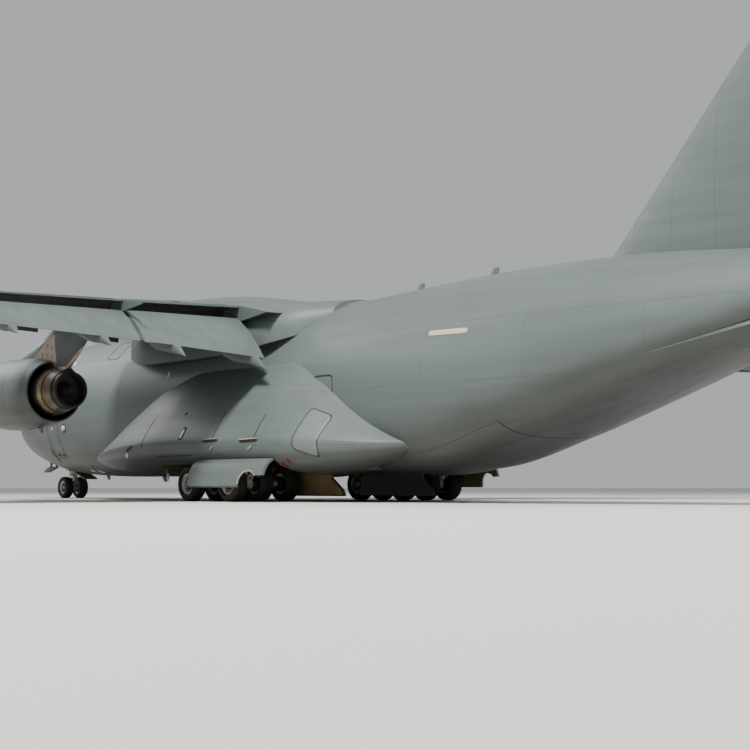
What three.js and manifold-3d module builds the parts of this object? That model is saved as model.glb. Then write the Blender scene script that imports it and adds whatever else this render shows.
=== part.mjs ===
// Four-engined military transport plane with a high wing and a T-tail, on its landing gear, at half scale.
// Sizes are written in metres of the full-size plane, and one group scales them to millimetres of the model.
// x is to port, y is the fuselage station aft of a datum ahead of the nose, and z is up from the ground.
import * as THREE from "three";
import { mergeVertices } from "three/addons/utils/BufferGeometryUtils.js";
import Module from "manifold-3d";

const wasm = await Module();
wasm.setup();

// Driving dimensions
const MODEL_MM_PER_M = 500; // 1:2
const LENGTH = 53.04;
const NOSE_Y = 1.6; // the datum's distance ahead of the nose
const HALF_SPAN = 25.87;
const HEIGHT = 16.79;
const GAP = 0.001; // between pieces that are seated on each other
const CLEAR = 0.02; // between a moving surface and what it moves past
const RUN = 0.0002; // between a shaft and its bore
const HINGE_PIN = 0.03; // radius of the pins of flaps, control surfaces and doors
const PIN_SIDES = 8;
const WALL = 0.14; // fuselage frame and skin
const NOSE_END = 12.0; // fuselage joints, and the crease where the ramp is hinged
const HOLD_END = 30.9;
const RAMP_END = 37.5;
const DOOR_END = 45.2;
const FLOOR_Z = 1.63; // cargo floor
const FLOOR_DEPTH = 0.3;

// Fuselage sections: station, half width, crown, keel, height of greatest width, squareness of the keel
const HULL = [
  [1.6, 0.06, 3.5, 3.38, 3.44, 2],
  [1.85, 0.72, 4.1, 2.8, 3.44, 2],
  [2.4, 1.3, 4.7, 2.34, 3.46, 2],
  [3.2, 1.87, 5.3, 1.96, 3.5, 2],
  [4.3, 2.42, 6.0, 1.66, 3.58, 2.1],
  [5.6, 2.84, 6.6, 1.4, 3.66, 2.2],
  [7.2, 3.14, 7.02, 1.17, 3.74, 2.35],
  [9.2, 3.34, 7.24, 1.04, 3.82, 2.5],
  [12.0, 3.43, 7.33, 0.98, 3.9, 2.8],
  [16.0, 3.43, 7.33, 0.98, 3.9, 3],
  [29.0, 3.43, 7.33, 0.98, 3.9, 3],
  [30.9, 3.43, 7.4, 0.98, 3.9, 3],
  [33.6, 3.39, 7.5, 1.12, 3.95, 3],
  [37.2, 3.22, 7.58, 1.98, 4.3, 3],
  [41.0, 2.84, 7.5, 3.1, 4.8, 2.9],
  [45.2, 2.16, 7.18, 4.38, 5.45, 2.7],
  [48.4, 1.34, 6.76, 5.36, 5.98, 2.4],
  [50.3, 0.3, 6.5, 6.1, 6.28, 2],
];
const HULL_POINTS = 32;

// Geometry helpers
const signedVolume = (points, faces) =>
  faces.reduce((sum, [a, b, c]) => {
    const [p, q, r] = [a, b, c].map((i) => new THREE.Vector3(...points[i]));
    return sum + p.dot(q.cross(r)) / 6;
  }, 0);

// A closed geometry through rings of equal length, with a fan over each end.
function loft(rings) {
  const count = rings[0].length;
  const points = rings.flat();
  const faces = [];
  for (let k = 0; k + 1 < rings.length; k++)
    for (let i = 0; i < count; i++) {
      const [a, b] = [k * count + i, k * count + ((i + 1) % count)];
      const middle = points[a][0] + points[b][0] + points[a + count][0] + points[b + count][0];
      // the diagonals of the two sides mirror each other, so that mirrored pieces fit both sides alike
      if (middle < 0) faces.push([a, b, a + count], [b, b + count, a + count]);
      else faces.push([a, b, b + count], [a, b + count, a + count]);
    }
  const last = (rings.length - 1) * count;
  for (let i = 1; i + 1 < count; i++) faces.push([0, i + 1, i], [last, last + i, last + i + 1]);
  const outward = signedVolume(points, faces) > 0;
  const geometry = new THREE.BufferGeometry();
  geometry.setAttribute("position", new THREE.Float32BufferAttribute(points.flat(), 3));
  geometry.setIndex(faces.flatMap(([a, b, c]) => (outward ? [a, b, c] : [a, c, b])));
  return geometry;
}

function solid(geometry) {
  const bare = new THREE.BufferGeometry().setAttribute("position", geometry.getAttribute("position").clone());
  if (geometry.index) bare.setIndex(geometry.index.clone());
  const merged = mergeVertices(bare, 1e-6);
  return new wasm.Manifold(
    new wasm.Mesh({
      numProp: 3,
      vertProperties: merged.attributes.position.array,
      triVerts: new Uint32Array(merged.index.array),
    }),
  );
}

function geometryOf(made) {
  const mesh = made.getMesh();
  const points = new Float32Array(mesh.numVert * 3);
  for (let i = 0; i < mesh.numVert; i++)
    points.set(mesh.vertProperties.subarray(i * mesh.numProp, i * mesh.numProp + 3), i * 3);
  const geometry = new THREE.BufferGeometry();
  geometry.setAttribute("position", new THREE.BufferAttribute(points, 3));
  geometry.setIndex(Array.from(mesh.triVerts));
  return geometry;
}

function box(x0, x1, y0, y1, z0, z1) {
  const geometry = new THREE.BoxGeometry(x1 - x0, y1 - y0, z1 - z0);
  return solid(geometry.translate((x0 + x1) / 2, (y0 + y1) / 2, (z0 + z1) / 2));
}

// A round bar from one point to another, with a radius at each end.
function bar(from, to, radius, sides = 16, endRadius = radius, start = 0) {
  const [a, b] = [new THREE.Vector3(...from), new THREE.Vector3(...to)];
  const geometry = new THREE.CylinderGeometry(endRadius, radius, a.distanceTo(b), sides, 1, false, start);
  const along = b.clone().sub(a).normalize();
  const turn = new THREE.Quaternion().setFromUnitVectors(new THREE.Vector3(0, 1, 0), along);
  geometry.applyQuaternion(turn).translate(...a.add(b).multiplyScalar(0.5));
  return solid(geometry);
}

// A slab over a flat outline that need not be convex, with a place for each outline point at its two ends.
function slab(outline, startAt, endAt) {
  const flat = outline.map(([u, v]) => new THREE.Vector2(u, v));
  const count = outline.length;
  const faces = THREE.ShapeUtils.triangulateShape(flat, []).flatMap(([a, b, c]) => [
    [a, b, c],
    [a + count, c + count, b + count],
  ]);
  const clockwise = THREE.ShapeUtils.isClockWise(flat);
  for (let i = 0; i < count; i++) {
    const j = (i + 1) % count;
    const [p, q] = clockwise ? [j, i] : [i, j];
    faces.push([q, p, p + count], [q, p + count, q + count]);
  }
  const points = [...outline.map(([u, v]) => startAt(u, v)), ...outline.map(([u, v]) => endAt(u, v))];
  const geometry = new THREE.BufferGeometry();
  geometry.setAttribute("position", new THREE.Float32BufferAttribute(points.flat(), 3));
  geometry.setIndex(faces.flat());
  return solid(signedVolume(points, faces) > 0 ? geometry : flipped(geometry));
}

const union = (...parts) => parts.reduce((sum, part) => sum.add(part));

// A turned body from a profile of [radius, distance] that starts and ends on the axis.
function turned(profile, sides, axis, at) {
  const geometry = new THREE.LatheGeometry(profile.map(([r, d]) => new THREE.Vector2(r, d)), sides);
  if (axis === "x") geometry.rotateZ(-Math.PI / 2);
  geometry.translate(...at);
  const made = solid(geometry);
  return made.volume() > 0 ? made : solid(flipped(geometry));
}

function flipped(geometry) {
  const copy = geometry.clone();
  const index = Array.from(copy.index.array);
  for (let i = 0; i < index.length; i += 3) [index[i + 1], index[i + 2]] = [index[i + 2], index[i + 1]];
  return copy.setIndex(index);
}

const mirrored = (made) => solid(flipped(geometryOf(made).scale(-1, 1, 1)));

// A solid turned by an angle about the line through two points.
function turnedAbout(made, from, to, angle) {
  const [a, b] = [new THREE.Vector3(...from), new THREE.Vector3(...to)];
  const matrix = new THREE.Matrix4()
    .makeTranslation(a.x, a.y, a.z)
    .multiply(new THREE.Matrix4().makeRotationAxis(b.sub(a).normalize(), angle))
    .multiply(new THREE.Matrix4().makeTranslation(-a.x, -a.y, -a.z));
  return solid(geometryOf(made).applyMatrix4(matrix));
}

// The cutter of a bore that leaves a faceted shaft free to turn: its flats face the shaft's corners.
function bore(from, to, shaftRadius, sides) {
  const radius = (shaftRadius + RUN) / Math.cos(Math.PI / sides);
  return bar(from, to, radius, sides, radius, Math.PI / sides);
}

// Fuselage
const mix = (a, b, t) => a + (b - a) * t;

function stationRing([y, wide, crown, keel, middle, square], inset) {
  return Array.from({ length: HULL_POINTS }, (_, i) => {
    const angle = (2 * Math.PI * i) / HULL_POINTS;
    const [c, s] = [Math.cos(angle), Math.sin(angle)];
    const power = 2 / (s < 0 ? square : 2);
    const reach = s < 0 ? middle - keel : crown - middle;
    const [x, z] = [Math.sign(c) * Math.abs(c) ** power, Math.sign(s) * Math.abs(s) ** power];
    return [x * (wide - inset), y, middle + z * (reach - inset)];
  });
}

function hullRing(y, inset) {
  const k = Math.min(Math.max(HULL.findIndex((row) => row[0] >= y), 1), HULL.length - 1);
  const [low, high] = [HULL[k - 1], HULL[k]];
  const t = (y - low[0]) / (high[0] - low[0]);
  const [a, b] = [stationRing(low, inset), stationRing(high, inset)];
  return a.map((point, i) => point.map((value, j) => mix(value, b[i][j], t)));
}

function hull(from, to, inset = 0) {
  const between = HULL.map((row) => row[0]).filter((y) => y > from + 0.05 && y < to - 0.05);
  return solid(loft([from, ...between, to].map((y) => hullRing(y, inset))));
}

const HOLLOW = [3.2, 49.6]; // ends of the fuselage's hollow
const skinOf = (from, to) =>
  hull(from, to).subtract(hull(Math.max(from - 0.2, HOLLOW[0]), Math.min(to + 0.2, HOLLOW[1]), WALL));
const insideHull = hull(HOLLOW[0] + 0.1, 49.0, WALL + GAP);

// Flight-deck windows: centre x, y and z, and half sizes; each is cut on both sides
const WINDOWS = [
  [0.5, 3.6, 5.46, 0.42, 1.1, 0.28],
  [1.42, 4.1, 5.46, 0.42, 1.1, 0.28],
  [2.3, 4.85, 5.36, 0.9, 0.36, 0.31],
  [2.6, 5.7, 5.36, 0.9, 0.3, 0.28],
];
const NOSE_BAY = { halfWidth: 0.62, from: 3.6, to: 5.9, roof: 2.2, wall: 0.1 };
const CREW_DOOR = { from: 8.75, to: 9.65, low: 1.95, high: 3.9 };

// The crew door's two hinges, on its lower outer edge: an ear on the sill, and a lug on the door beside it
const SILL_HINGE = { x: 2.8, z: 1.95, at: [8.98, 9.42], ear: [-0.07, -0.01], lug: [0.01, 0.07] };
const EYE = [[0, 0.04], [0.028, 0.028], [0.04, 0], [0.028, -0.028], [0, -0.04], [-0.028, -0.028]];

function sillHinge(y, outline, from, to) {
  const { x, z } = SILL_HINGE;
  return slab(outline, (dx, dz) => [x + dx, y + from, z + dz], (dx, dz) => [x + dx, y + to, z + dz]);
}

function sillPin(y, over, make) {
  const { x, z, ear, lug } = SILL_HINGE;
  return make([x, y + ear[0] / 2, z], [x, y + lug[1] + over, z], HINGE_PIN * 0.7, PIN_SIDES);
}

function noseSection() {
  const bay = NOSE_BAY;
  let made = skinOf(NOSE_Y, NOSE_END - GAP);
  const wide = bay.halfWidth + bay.wall;
  const housing = box(-wide, wide, bay.from - bay.wall, bay.to + bay.wall, 0.9, bay.roof + bay.wall);
  made = made.add(housing.intersect(hull(NOSE_Y, NOSE_END - GAP)));
  made = made.subtract(box(-bay.halfWidth, bay.halfWidth, bay.from, bay.to, 0.5, bay.roof));
  for (const [x, y, z, hx, hy, hz] of WINDOWS)
    for (const side of [-1, 1])
      made = made.subtract(box(side * x - hx, side * x + hx, y - hy, y + hy, z - hz, z + hz));
  const door = CREW_DOOR;
  made = made.subtract(box(2.3, 4, door.from, door.to, door.low, door.high));
  const { x, z, ear, lug } = SILL_HINGE;
  const outline = [...EYE, [-0.13, -0.05], [-0.13, -0.01]];
  for (const y of SILL_HINGE.at) {
    made = made.subtract(box(x - 0.08, x + 0.2, y + lug[0] - CLEAR, y + lug[1] + CLEAR, z - 0.07, z + 0.1));
    made = made.add(sillHinge(y, outline, ...ear)).add(sillPin(y, 0, bar));
  }
  return made;
}

function crewDoor() {
  const door = CREW_DOOR;
  const opening = box(2.3, 4, door.from + CLEAR, door.to - CLEAR, door.low + CLEAR, door.high - CLEAR);
  let made = skinOf(8, NOSE_END - GAP).intersect(opening);
  const { x, z, ear, lug } = SILL_HINGE;
  const outline = [[-0.04, 0], [-0.04, 0.15], [-0.01, 0.15], [0.028, 0.028], ...EYE.slice(2, 6)];
  for (const y of SILL_HINGE.at) {
    made = made.subtract(box(x - 0.09, x + 0.2, y + ear[0] - CLEAR, y + lug[1] + CLEAR, z - 0.1, z + 0.07));
    made = made.add(sillHinge(y, outline, ...lug)).subtract(sillPin(y, CLEAR, bore));
  }
  return made;
}

function cockpitGlass() {
  const pane = hull(3.22, 6.6, WALL + GAP).subtract(hull(3.1, 6.8, WALL + 0.05));
  return pane.intersect(box(-3, 3, 3.23, 6.2, 4.95, 5.85));
}

// Flight deck: floor, rear bulkhead, coaming and two seats in one piece
const FLIGHT_DECK_Z = 4.3;

function flightDeck() {
  const parts = [
    box(-3.2, 3.2, 4.5, 8.3, FLIGHT_DECK_Z - 0.1, FLIGHT_DECK_Z),
    box(-3.2, 3.2, 8.2, 8.3, 1.0, 7.3),
    box(-1.5, 1.5, 4.5, 4.7, FLIGHT_DECK_Z - 0.1, 5.25),
  ];
  for (const side of [-0.75, 0.75]) {
    parts.push(box(side - 0.28, side + 0.28, 5.8, 6.4, FLIGHT_DECK_Z - 0.01, FLIGHT_DECK_Z + 0.5));
    parts.push(box(side - 0.28, side + 0.28, 6.35, 6.52, FLIGHT_DECK_Z + 0.4, FLIGHT_DECK_Z + 1.3));
  }
  return union(...parts).intersect(insideHull);
}

const cargoFloor = () =>
  box(-3, 3, 8.6, HOLD_END - CLEAR, FLOOR_Z - FLOOR_DEPTH, FLOOR_Z).intersect(insideHull);

const centreSection = () => skinOf(NOSE_END, HOLD_END - GAP).add(rampLugs());

// The hold's opening in the tail, which the ramp and the cargo door close
const RAMP_HALF_WIDTH = 2.62;
const DOOR_HALF_WIDTHS = [2.5, 1.3]; // at the ramp and at its aft hinge
const DOOR_EDGE_Z = [3.3, 5.3]; // side edges of ramp and door at both ends

// The seam between ramp and door leans forward, so that the ramp swings down past the closed door and the
// door swings up past the closed ramp.
const SEAM = { z: 2.0, lean: 0.26, half: 0.0225, lap: 0.01 }; // the two openings lap over each other
const seamAt = (z, offset) => RAMP_END + offset - SEAM.lean * (z - SEAM.z);

// The block between two ends, which are given as half width, height, and station as a function of z
const wedge = (ends) =>
  solid(loft(ends.map(([w, z, y]) => [[-w, y(0), 0], [w, y(0), 0], [w, y(z), z], [-w, y(z), z]])));

function rampOpening(inset) {
  const wide = RAMP_HALF_WIDTH - inset;
  const seam = (z) => seamAt(z, inset ? -SEAM.half : SEAM.lap);
  return wedge([
    [wide, 1.75, () => HOLD_END + 1.5 * inset],
    [wide, 3.3, seam],
  ]);
}

function doorOpening(inset) {
  const [w0, w1] = DOOR_HALF_WIDTHS.map((wide) => wide - inset);
  const seam = (z) => seamAt(z, inset ? SEAM.half : -SEAM.lap);
  return wedge([
    [w0, DOOR_EDGE_Z[0], seam],
    [w1, DOOR_EDGE_Z[1], () => DOOR_END - inset],
  ]);
}

// The ramp's hinge, along its lower front edge: on each side a lug of the hold's end in a notch of the ramp
const RAMP_HINGE = { y: 30.98, z: 1.04, x: 0.9, lugHalf: 0.08, reach: 0.04, pin: 0.024 };
// The cargo door's hinge, above its aft end, with a pin from each side of the tail in a lug of the door
const DOOR_HINGE = { y: 45.05, z: 4.68, lugFrom: 0.9, lugTo: 1.02, pinTo: 1.7 };

const rampPin = (make, over) => {
  const { x, y, z, lugHalf, pin } = RAMP_HINGE;
  return make([x - lugHalf - over, y, z], [x + lugHalf + over, y, z], pin, PIN_SIDES);
};
const bothSides = (made) => made.add(mirrored(made));

function rampLugs() {
  const { x, y, z, lugHalf, reach } = RAMP_HINGE;
  const lug = box(x - lugHalf, x + lugHalf, HOLD_END - 0.2, y + reach, z - reach, z + reach);
  return bothSides(lug.add(rampPin(bar, 0.09)));
}

// Strakes under the tail, one each side: root and tip outline points [x, y, z]
const STRAKE = [
  [1.7, 41.7, 4.75],
  [0.6, 48.0, 5.9],
  [1.35, 48.0, 5.25],
  [2.45, 42.3, 4.15],
];

function strake() {
  const ring = (dz) => STRAKE.map(([x, y, z]) => [x, y, z + dz]);
  return solid(loft([ring(-0.05), ring(0.05)]));
}

function tailSection() {
  const made = skinOf(HOLD_END, 50.3).subtract(rampOpening(0)).subtract(doorOpening(0));
  const fins = union(strake(), mirrored(strake())).subtract(hull(31, 50.2, 0.05));
  const { y, z, lugFrom, pinTo } = DOOR_HINGE;
  const pin = bar([lugFrom - 0.03, y, z], [pinTo, y, z], HINGE_PIN, PIN_SIDES);
  return union(made, fins, bothSides(pin));
}

function cargoRamp() {
  const thick = hull(HOLD_END, RAMP_END + 0.5).subtract(hull(HOLD_END - 0.2, RAMP_END + 1, 0.3));
  const { x, y, z, lugHalf, reach } = RAMP_HINGE;
  const [wide, deep] = [lugHalf + CLEAR, reach + 2 * CLEAR];
  const notch = box(x - wide, x + wide, HOLD_END, y + deep, z - 0.2, z + deep);
  return thick.intersect(rampOpening(CLEAR)).subtract(bothSides(notch.add(rampPin(bore, 0.1))));
}

function cargoDoor() {
  const { y, z, lugFrom, lugTo } = DOOR_HINGE;
  const lug = box(lugFrom, lugTo, y - 0.05, y + 0.05, z - 0.26, z + 0.05);
  const hole = bore([lugFrom - 0.1, y, z], [lugTo + 0.1, y, z], HINGE_PIN, PIN_SIDES);
  const panel = skinOf(RAMP_END - 1, DOOR_END + 0.5).intersect(doorOpening(CLEAR));
  return panel.add(bothSides(lug.subtract(hole)));
}

// Saddle fairing over the crown, which carries both wings: station, half width, top, side bottom
const SADDLE = [
  [13.2, 0.5, 7.37, 6.8],
  [14.4, 1.9, 7.75, 6.3],
  [16.0, 3.2, 8.1, 5.8],
  [18.0, 3.72, 8.2, 5.4],
  [21.5, 3.72, 8.05, 5.4],
  [24.0, 3.66, 7.65, 5.45],
  [26.0, 3.4, 7.42, 5.7],
  [28.0, 1.9, 7.34, 6.3],
];
const SADDLE_POINTS = 18;

function saddle(grow) {
  const rings = SADDLE.map(([y, wide, top, low]) =>
    Array.from({ length: SADDLE_POINTS }, (_, i) => {
      const angle = (Math.PI * i) / (SADDLE_POINTS - 1);
      const [c, s] = [Math.cos(angle), Math.sin(angle)];
      return [Math.sign(c) * Math.abs(c) ** 0.62 * (wide + grow), y, low + (top + grow - low) * s ** 0.62];
    }),
  );
  return solid(loft(rings));
}

const wingFairing = () => saddle(0).subtract(hull(10, 34, -GAP));

// Wing: leading edge and trailing edge lines, chord planes and thickness, port side
const WING_ROOT_X = 3.3;
const KINK_X = 8.5;
const TIP_X = 25.05;
const wingFront = (x) => 14.4 + 0.53 * x;
const wingBack = (x) => (x < KINK_X ? 26.2 + 0.082 * x : 26.9 + 0.205 * (x - KINK_X));
const wingChord = (x) => wingBack(x) - wingFront(x);
const wingHeight = (x) => 7.28 - 0.052 * x; // chord plane at the leading edge
const wingDrop = (x) => 0.035 * Math.max(0, 1 - x / 20); // incidence, as a slope down to the trailing edge
const wingThickness = (x) => mix(0.15, 0.11, Math.min(x / 14, 1));

// Half thickness of the section at a share of the chord, full at 35%, closing to a thin trailing edge.
const sectionShape = (t) =>
  t < 0.35 ? Math.sqrt(1 - ((0.35 - t) / 0.35) ** 2) : 1 - 0.985 * ((t - 0.35) / 0.65) ** 1.7;
const UPPER_SHARE = 0.56;

function wingPoint(x, t, side) {
  const chord = wingChord(x);
  const share = side > 0 ? UPPER_SHARE : -(1 - UPPER_SHARE);
  const z = wingHeight(x) - wingDrop(x) * t * chord + share * wingThickness(x) * chord * sectionShape(t);
  return [x, wingFront(x) + t * chord, z];
}

const CHORD_SHARES = [0, 0.018, 0.07, 0.18, 0.35, 0.55, 0.72, 0.86, 1];

function wingRing(x) {
  const upper = CHORD_SHARES.map((t) => wingPoint(x, t, 1));
  const lower = CHORD_SHARES.slice(1).reverse().map((t) => wingPoint(x, t, -1));
  return [...upper, ...lower];
}

// Flaps: spans, and the stations of their hinge fairings
const FLAPS = [
  { name: "inner", from: 3.93, to: 9.05, hinges: [4.35, 7.75] },
  { name: "outer", from: 9.3, to: 17.0, hinges: [10.85, 14.4] },
];
const FLAP_SLIP = 0.2; // the hinge lines are swept, so the flaps also move inboard as they go down
const FLAP_ANGLE = THREE.MathUtils.degToRad(35);
const FLAP_HINGE_SHARE = 0.735;
const COVE_SHARES = { lower: 0.715, upper: 0.83 };

function flapHinge(x) {
  const [, y, z] = wingPoint(x, FLAP_HINGE_SHARE, -1);
  return [x, y, z - 0.085 * wingChord(x)];
}

const sectionAt = (x, list) =>
  list.map(([t, side, off]) => {
    const [, y, z] = wingPoint(x, Math.min(t, 1), side);
    return [x, y + (t > 1 ? (t - 1) * wingChord(x) : 0), z + off * wingChord(x)];
  });

// Outlines of the cove under the shroud and of the flap in it: share of chord, side, and offset in chords
const COVE = [
  [COVE_SHARES.lower, -1, -0.1],
  [COVE_SHARES.lower, -1, 0.015],
  [0.724, 1, -0.03],
  [0.76, 1, -0.018],
  [COVE_SHARES.upper, 1, -0.007],
  [COVE_SHARES.upper + 0.003, 1, 0.1],
  [1.05, 1, 0.1],
  [1.05, -1, -0.1],
];
const FLAP = [
  [0.741, -1, 0.0],
  [0.736, -1, 0.012],
  [0.742, 1, -0.032],
  [0.765, 1, -0.023],
  [0.8, 1, -0.0165],
  [0.838, 1, -0.008],
  [0.92, 1, -0.002],
  [1, 1, 0],
  [1, -1, 0],
  [0.9, -1, 0],
  [0.8, -1, 0],
];

// Hinge fairing under the wing, seen from the side: share of chord, and depth in chords
const FIXED_CANOE = [
  [0.5, 0.02],
  [0.58, -0.022],
  [0.66, -0.052],
  [0.716, -0.068],
  [0.716, 0.02],
];
const MOVING_CANOE = [
  [0.752, -0.073],
  [0.82, -0.078],
  [0.93, -0.062],
  [1.09, 0.004],
  [1.0, 0.006],
  [0.9, 0.018],
  [0.8, 0.02],
  [0.752, 0.008],
];
const CANOE_HALF_WIDTH = 0.3;

// Around each flap hinge's pin, in chords aft and up: the wing's ear, and the flap's lug beside it
const EAR = [
  [-0.045, 0.06],
  [-0.02, 0.06],
  [0.006, 0.009],
  [0.011, 0],
  [0.008, -0.008],
  [0, -0.011],
  [-0.008, -0.008],
  [-0.045, 0.035],
];
const LUG = [
  [0.03, 0.013],
  [0.03, 0.035],
  [0.004, 0.0115],
  [-0.007, 0.007],
  [-0.01, 0],
  [-0.007, -0.007],
  [0, -0.01],
  [0.007, -0.007],
];
const EAR_PLACE = [-0.1, -0.01]; // faces of ear and lug, along the hinge line
const LUG_PLACE = [0.01, 0.1];

// Places around the flap's hinge line at a wing station: along it, aft of it and above it.
function aroundHinge({ from, to }, x) {
  const [a, b] = [from, to].map((end) => new THREE.Vector3(...flapHinge(end)));
  const along = b.clone().sub(a).normalize();
  const back = new THREE.Vector3(0, 1, 0).addScaledVector(along, -along.y).normalize();
  const up = along.clone().cross(back);
  const middle = a.clone().lerp(b, (x - from) / (to - from));
  return (s, u, v) =>
    middle.clone().addScaledVector(along, s).addScaledVector(back, u).addScaledVector(up, v).toArray();
}

function hingeFittings(span, x) {
  const place = aroundHinge(span, x);
  const chord = wingChord(x);
  const plate = (outline, start, end) =>
    slab(
      outline.map(([u, v]) => [u * chord, v * chord]),
      (u, v) => place(start, u, v),
      (u, v) => place(end, u, v),
    );
  const [pinFrom, pinTo] = [place(EAR_PLACE[0] / 2, 0, 0), place(LUG_PLACE[1], 0, 0)];
  const holeTo = place(LUG_PLACE[1] + CLEAR, 0, 0);
  return {
    ear: plate(EAR, ...EAR_PLACE).add(bar(pinFrom, pinTo, HINGE_PIN, PIN_SIDES)),
    lug: plate(LUG, ...LUG_PLACE).subtract(bore(pinFrom, holeTo, HINGE_PIN, PIN_SIDES)),
  };
}

function canoe(x, outline) {
  const rings = [-1, -0.55, 0.55, 1].map((u) =>
    outline.map(([t, depth]) => {
      const [, y, z] = sectionAt(x, [[t, -1, 0]])[0];
      const shallow = depth < 0 ? (Math.abs(u) === 1 ? 0.35 : 1) : 1;
      const end = t > 1.02 ? 0.3 : 1;
      return [x + u * CANOE_HALF_WIDTH * end, y, z + depth * shallow * wingChord(x)];
    }),
  );
  return solid(loft(rings));
}

// Ailerons, elevators and rudders: a surface behind a hinge line, with a round nose in a round cove,
// on a pin at each end.
const PIN_ROOT = 0.04;
const PIN_REACH = 0.16;

function controlSurface(body, from, to, radii, aft) {
  const [a, b] = [new THREE.Vector3(...from), new THREE.Vector3(...to)];
  const along = b.clone().sub(a).normalize();
  const straight = new THREE.Vector3(...aft);
  const back = straight.clone().addScaledVector(along, -along.dot(straight)).normalize();
  const across = along.clone().cross(back);
  const endsAt = (inset) => [
    a.clone().addScaledVector(along, inset),
    b.clone().addScaledVector(along, -inset),
  ];
  const region = (inset, forward) => {
    const rings = endsAt(inset).map((end, k) => {
      const front = -forward * radii[k];
      const corners = [[front, -3], [8, -3], [8, 3], [front, 3]];
      const place = ([u, v]) => end.clone().addScaledVector(back, u).addScaledVector(across, v).toArray();
      return corners.map(place);
    });
    return solid(loft(rings));
  };
  const nose = (inset, grow) => {
    const [start, end] = endsAt(inset).map((point) => point.toArray());
    return bar(start, end, radii[0] + grow, 12, radii[1] + grow);
  };
  const pins = (make, reach) => {
    const roots = endsAt(-PIN_ROOT).map((point) => point.toArray());
    const tips = endsAt(reach).map((point) => point.toArray());
    return union(...roots.map((start, k) => make(start, tips[k], HINGE_PIN, PIN_SIDES)));
  };
  return {
    fixed: body.subtract(region(0, 0.5)).subtract(nose(0, CLEAR)).add(pins(bar, PIN_REACH)),
    moving: body.intersect(region(CLEAR, 0)).add(nose(CLEAR, 0)).subtract(pins(bore, PIN_REACH + CLEAR)),
  };
}

const AILERON = { from: 17.15, to: 24.3, hinge: 0.74 };

// Slats: leading-edge panels drooped forward on their tracks, one between each pair of pylons
const SLATS = [
  [3.9, 7.55],
  [8.85, 13.5],
  [14.9, 24.4],
];
const SLAT = [
  [-0.052, -0.062],
  [-0.058, -0.04],
  [-0.045, -0.006],
  [-0.01, 0.032],
  [0.05, 0.07],
  [0.052, 0.064],
  [0.0, 0.022],
  [-0.024, -0.024],
  [-0.03, -0.066],
];
const SLAT_TRACK_SPACING = 2.4;

function slat([from, to]) {
  const ring = (x) =>
    SLAT.map(([t, depth]) => {
      const chord = wingChord(x);
      const thinner = 0.62 + 0.38 * (wingThickness(x) / 0.15);
      return [x, wingFront(x) + t * chord, wingHeight(x) + depth * chord * thinner];
    });
  const made = [solid(loft([ring(from), ring(to)]))];
  const count = Math.max(2, Math.round((to - from) / SLAT_TRACK_SPACING));
  for (let k = 0; k < count; k++) {
    const x = mix(from, to, (k + 0.5) / count);
    const [y, z, chord] = [wingFront(x), wingHeight(x), wingChord(x)];
    const [front, back] = [y - 0.035 * chord, y + 0.08 * chord];
    made.push(box(x - 0.06, x + 0.06, front, back, z - 0.1, z + 0.008 * chord));
  }
  return made;
}

// Engines: centre, with the wing's leading edge as the place that they hang from
const ENGINES = [
  { name: "inner", x: 8.2, z: 4.12 },
  { name: "outer", x: 14.2, z: 3.74 },
];
const ENGINE_AHEAD = 4.25; // inlet lip to leading edge
const COWL = [ // radius and distance aft of the lip, outside then inside
  [1.13, 0.0], [1.23, 0.1], [1.34, 0.6], [1.39, 1.6], [1.35, 3.1], [1.16, 4.5],
  [1.1, 4.5], [1.16, 3.0], [1.03, 1.6], [1.04, 0.3],
];
const CORE = [ // the casing from its face behind the fan to the nozzle and the plug in it
  [0, 1.7], [0.6, 1.7], [0.8, 3.0], [0.82, 4.1], [0.72, 5.0], [0.64, 5.85],
  [0.59, 5.85], [0.62, 5.2], [0.3, 5.2], [0, 5.75],
];
const COWL_OUTSIDE = 6; // rows of the cowl's outside
const CORE_OUTSIDE = 6; // rows of the casing's outside
const FAN = { radius: 0.99, at: 1.28, depth: 0.3, blades: 8, spinner: 0.34, shaft: 0.1 };
const ENGINE_SIDES = 16; // a multiple of four, so that the cowl and its cutters share their facets

function cowl() {
  const ring = (k) => {
    const angle = (2 * Math.PI * k) / ENGINE_SIDES;
    return COWL.map(([r, d]) => [Math.cos(angle) * r, d, Math.sin(angle) * r]);
  };
  const rings = Array.from({ length: ENGINE_SIDES }, (_, k) => ring(k));
  const count = COWL.length;
  const points = rings.flat();
  const faces = [];
  for (let k = 0; k < ENGINE_SIDES; k++)
    for (let i = 0; i < count; i++) {
      const [a, b] = [k * count + i, k * count + ((i + 1) % count)];
      const step = (((k + 1) % ENGINE_SIDES) - k) * count;
      faces.push([a, b, b + step], [a, b + step, a + step]);
    }
  const geometry = new THREE.BufferGeometry();
  geometry.setAttribute("position", new THREE.Float32BufferAttribute(points.flat(), 3));
  geometry.setIndex(faces.flat());
  return solid(signedVolume(points, faces) > 0 ? geometry : flipped(geometry));
}

// The pylon's side, aft of the inlet lip and above the engine's axis: its lower edge, then its upper one
const PYLON_UNDER = [
  [1.5, 1.2],
  [4.4, 0.5],
  [5.6, 0.72],
  [6.6, 1.35],
];
const PYLON_OVER = [
  [3.4, 1.92],
  [2.2, 1.6],
  [1.3, 1.34],
];

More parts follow.
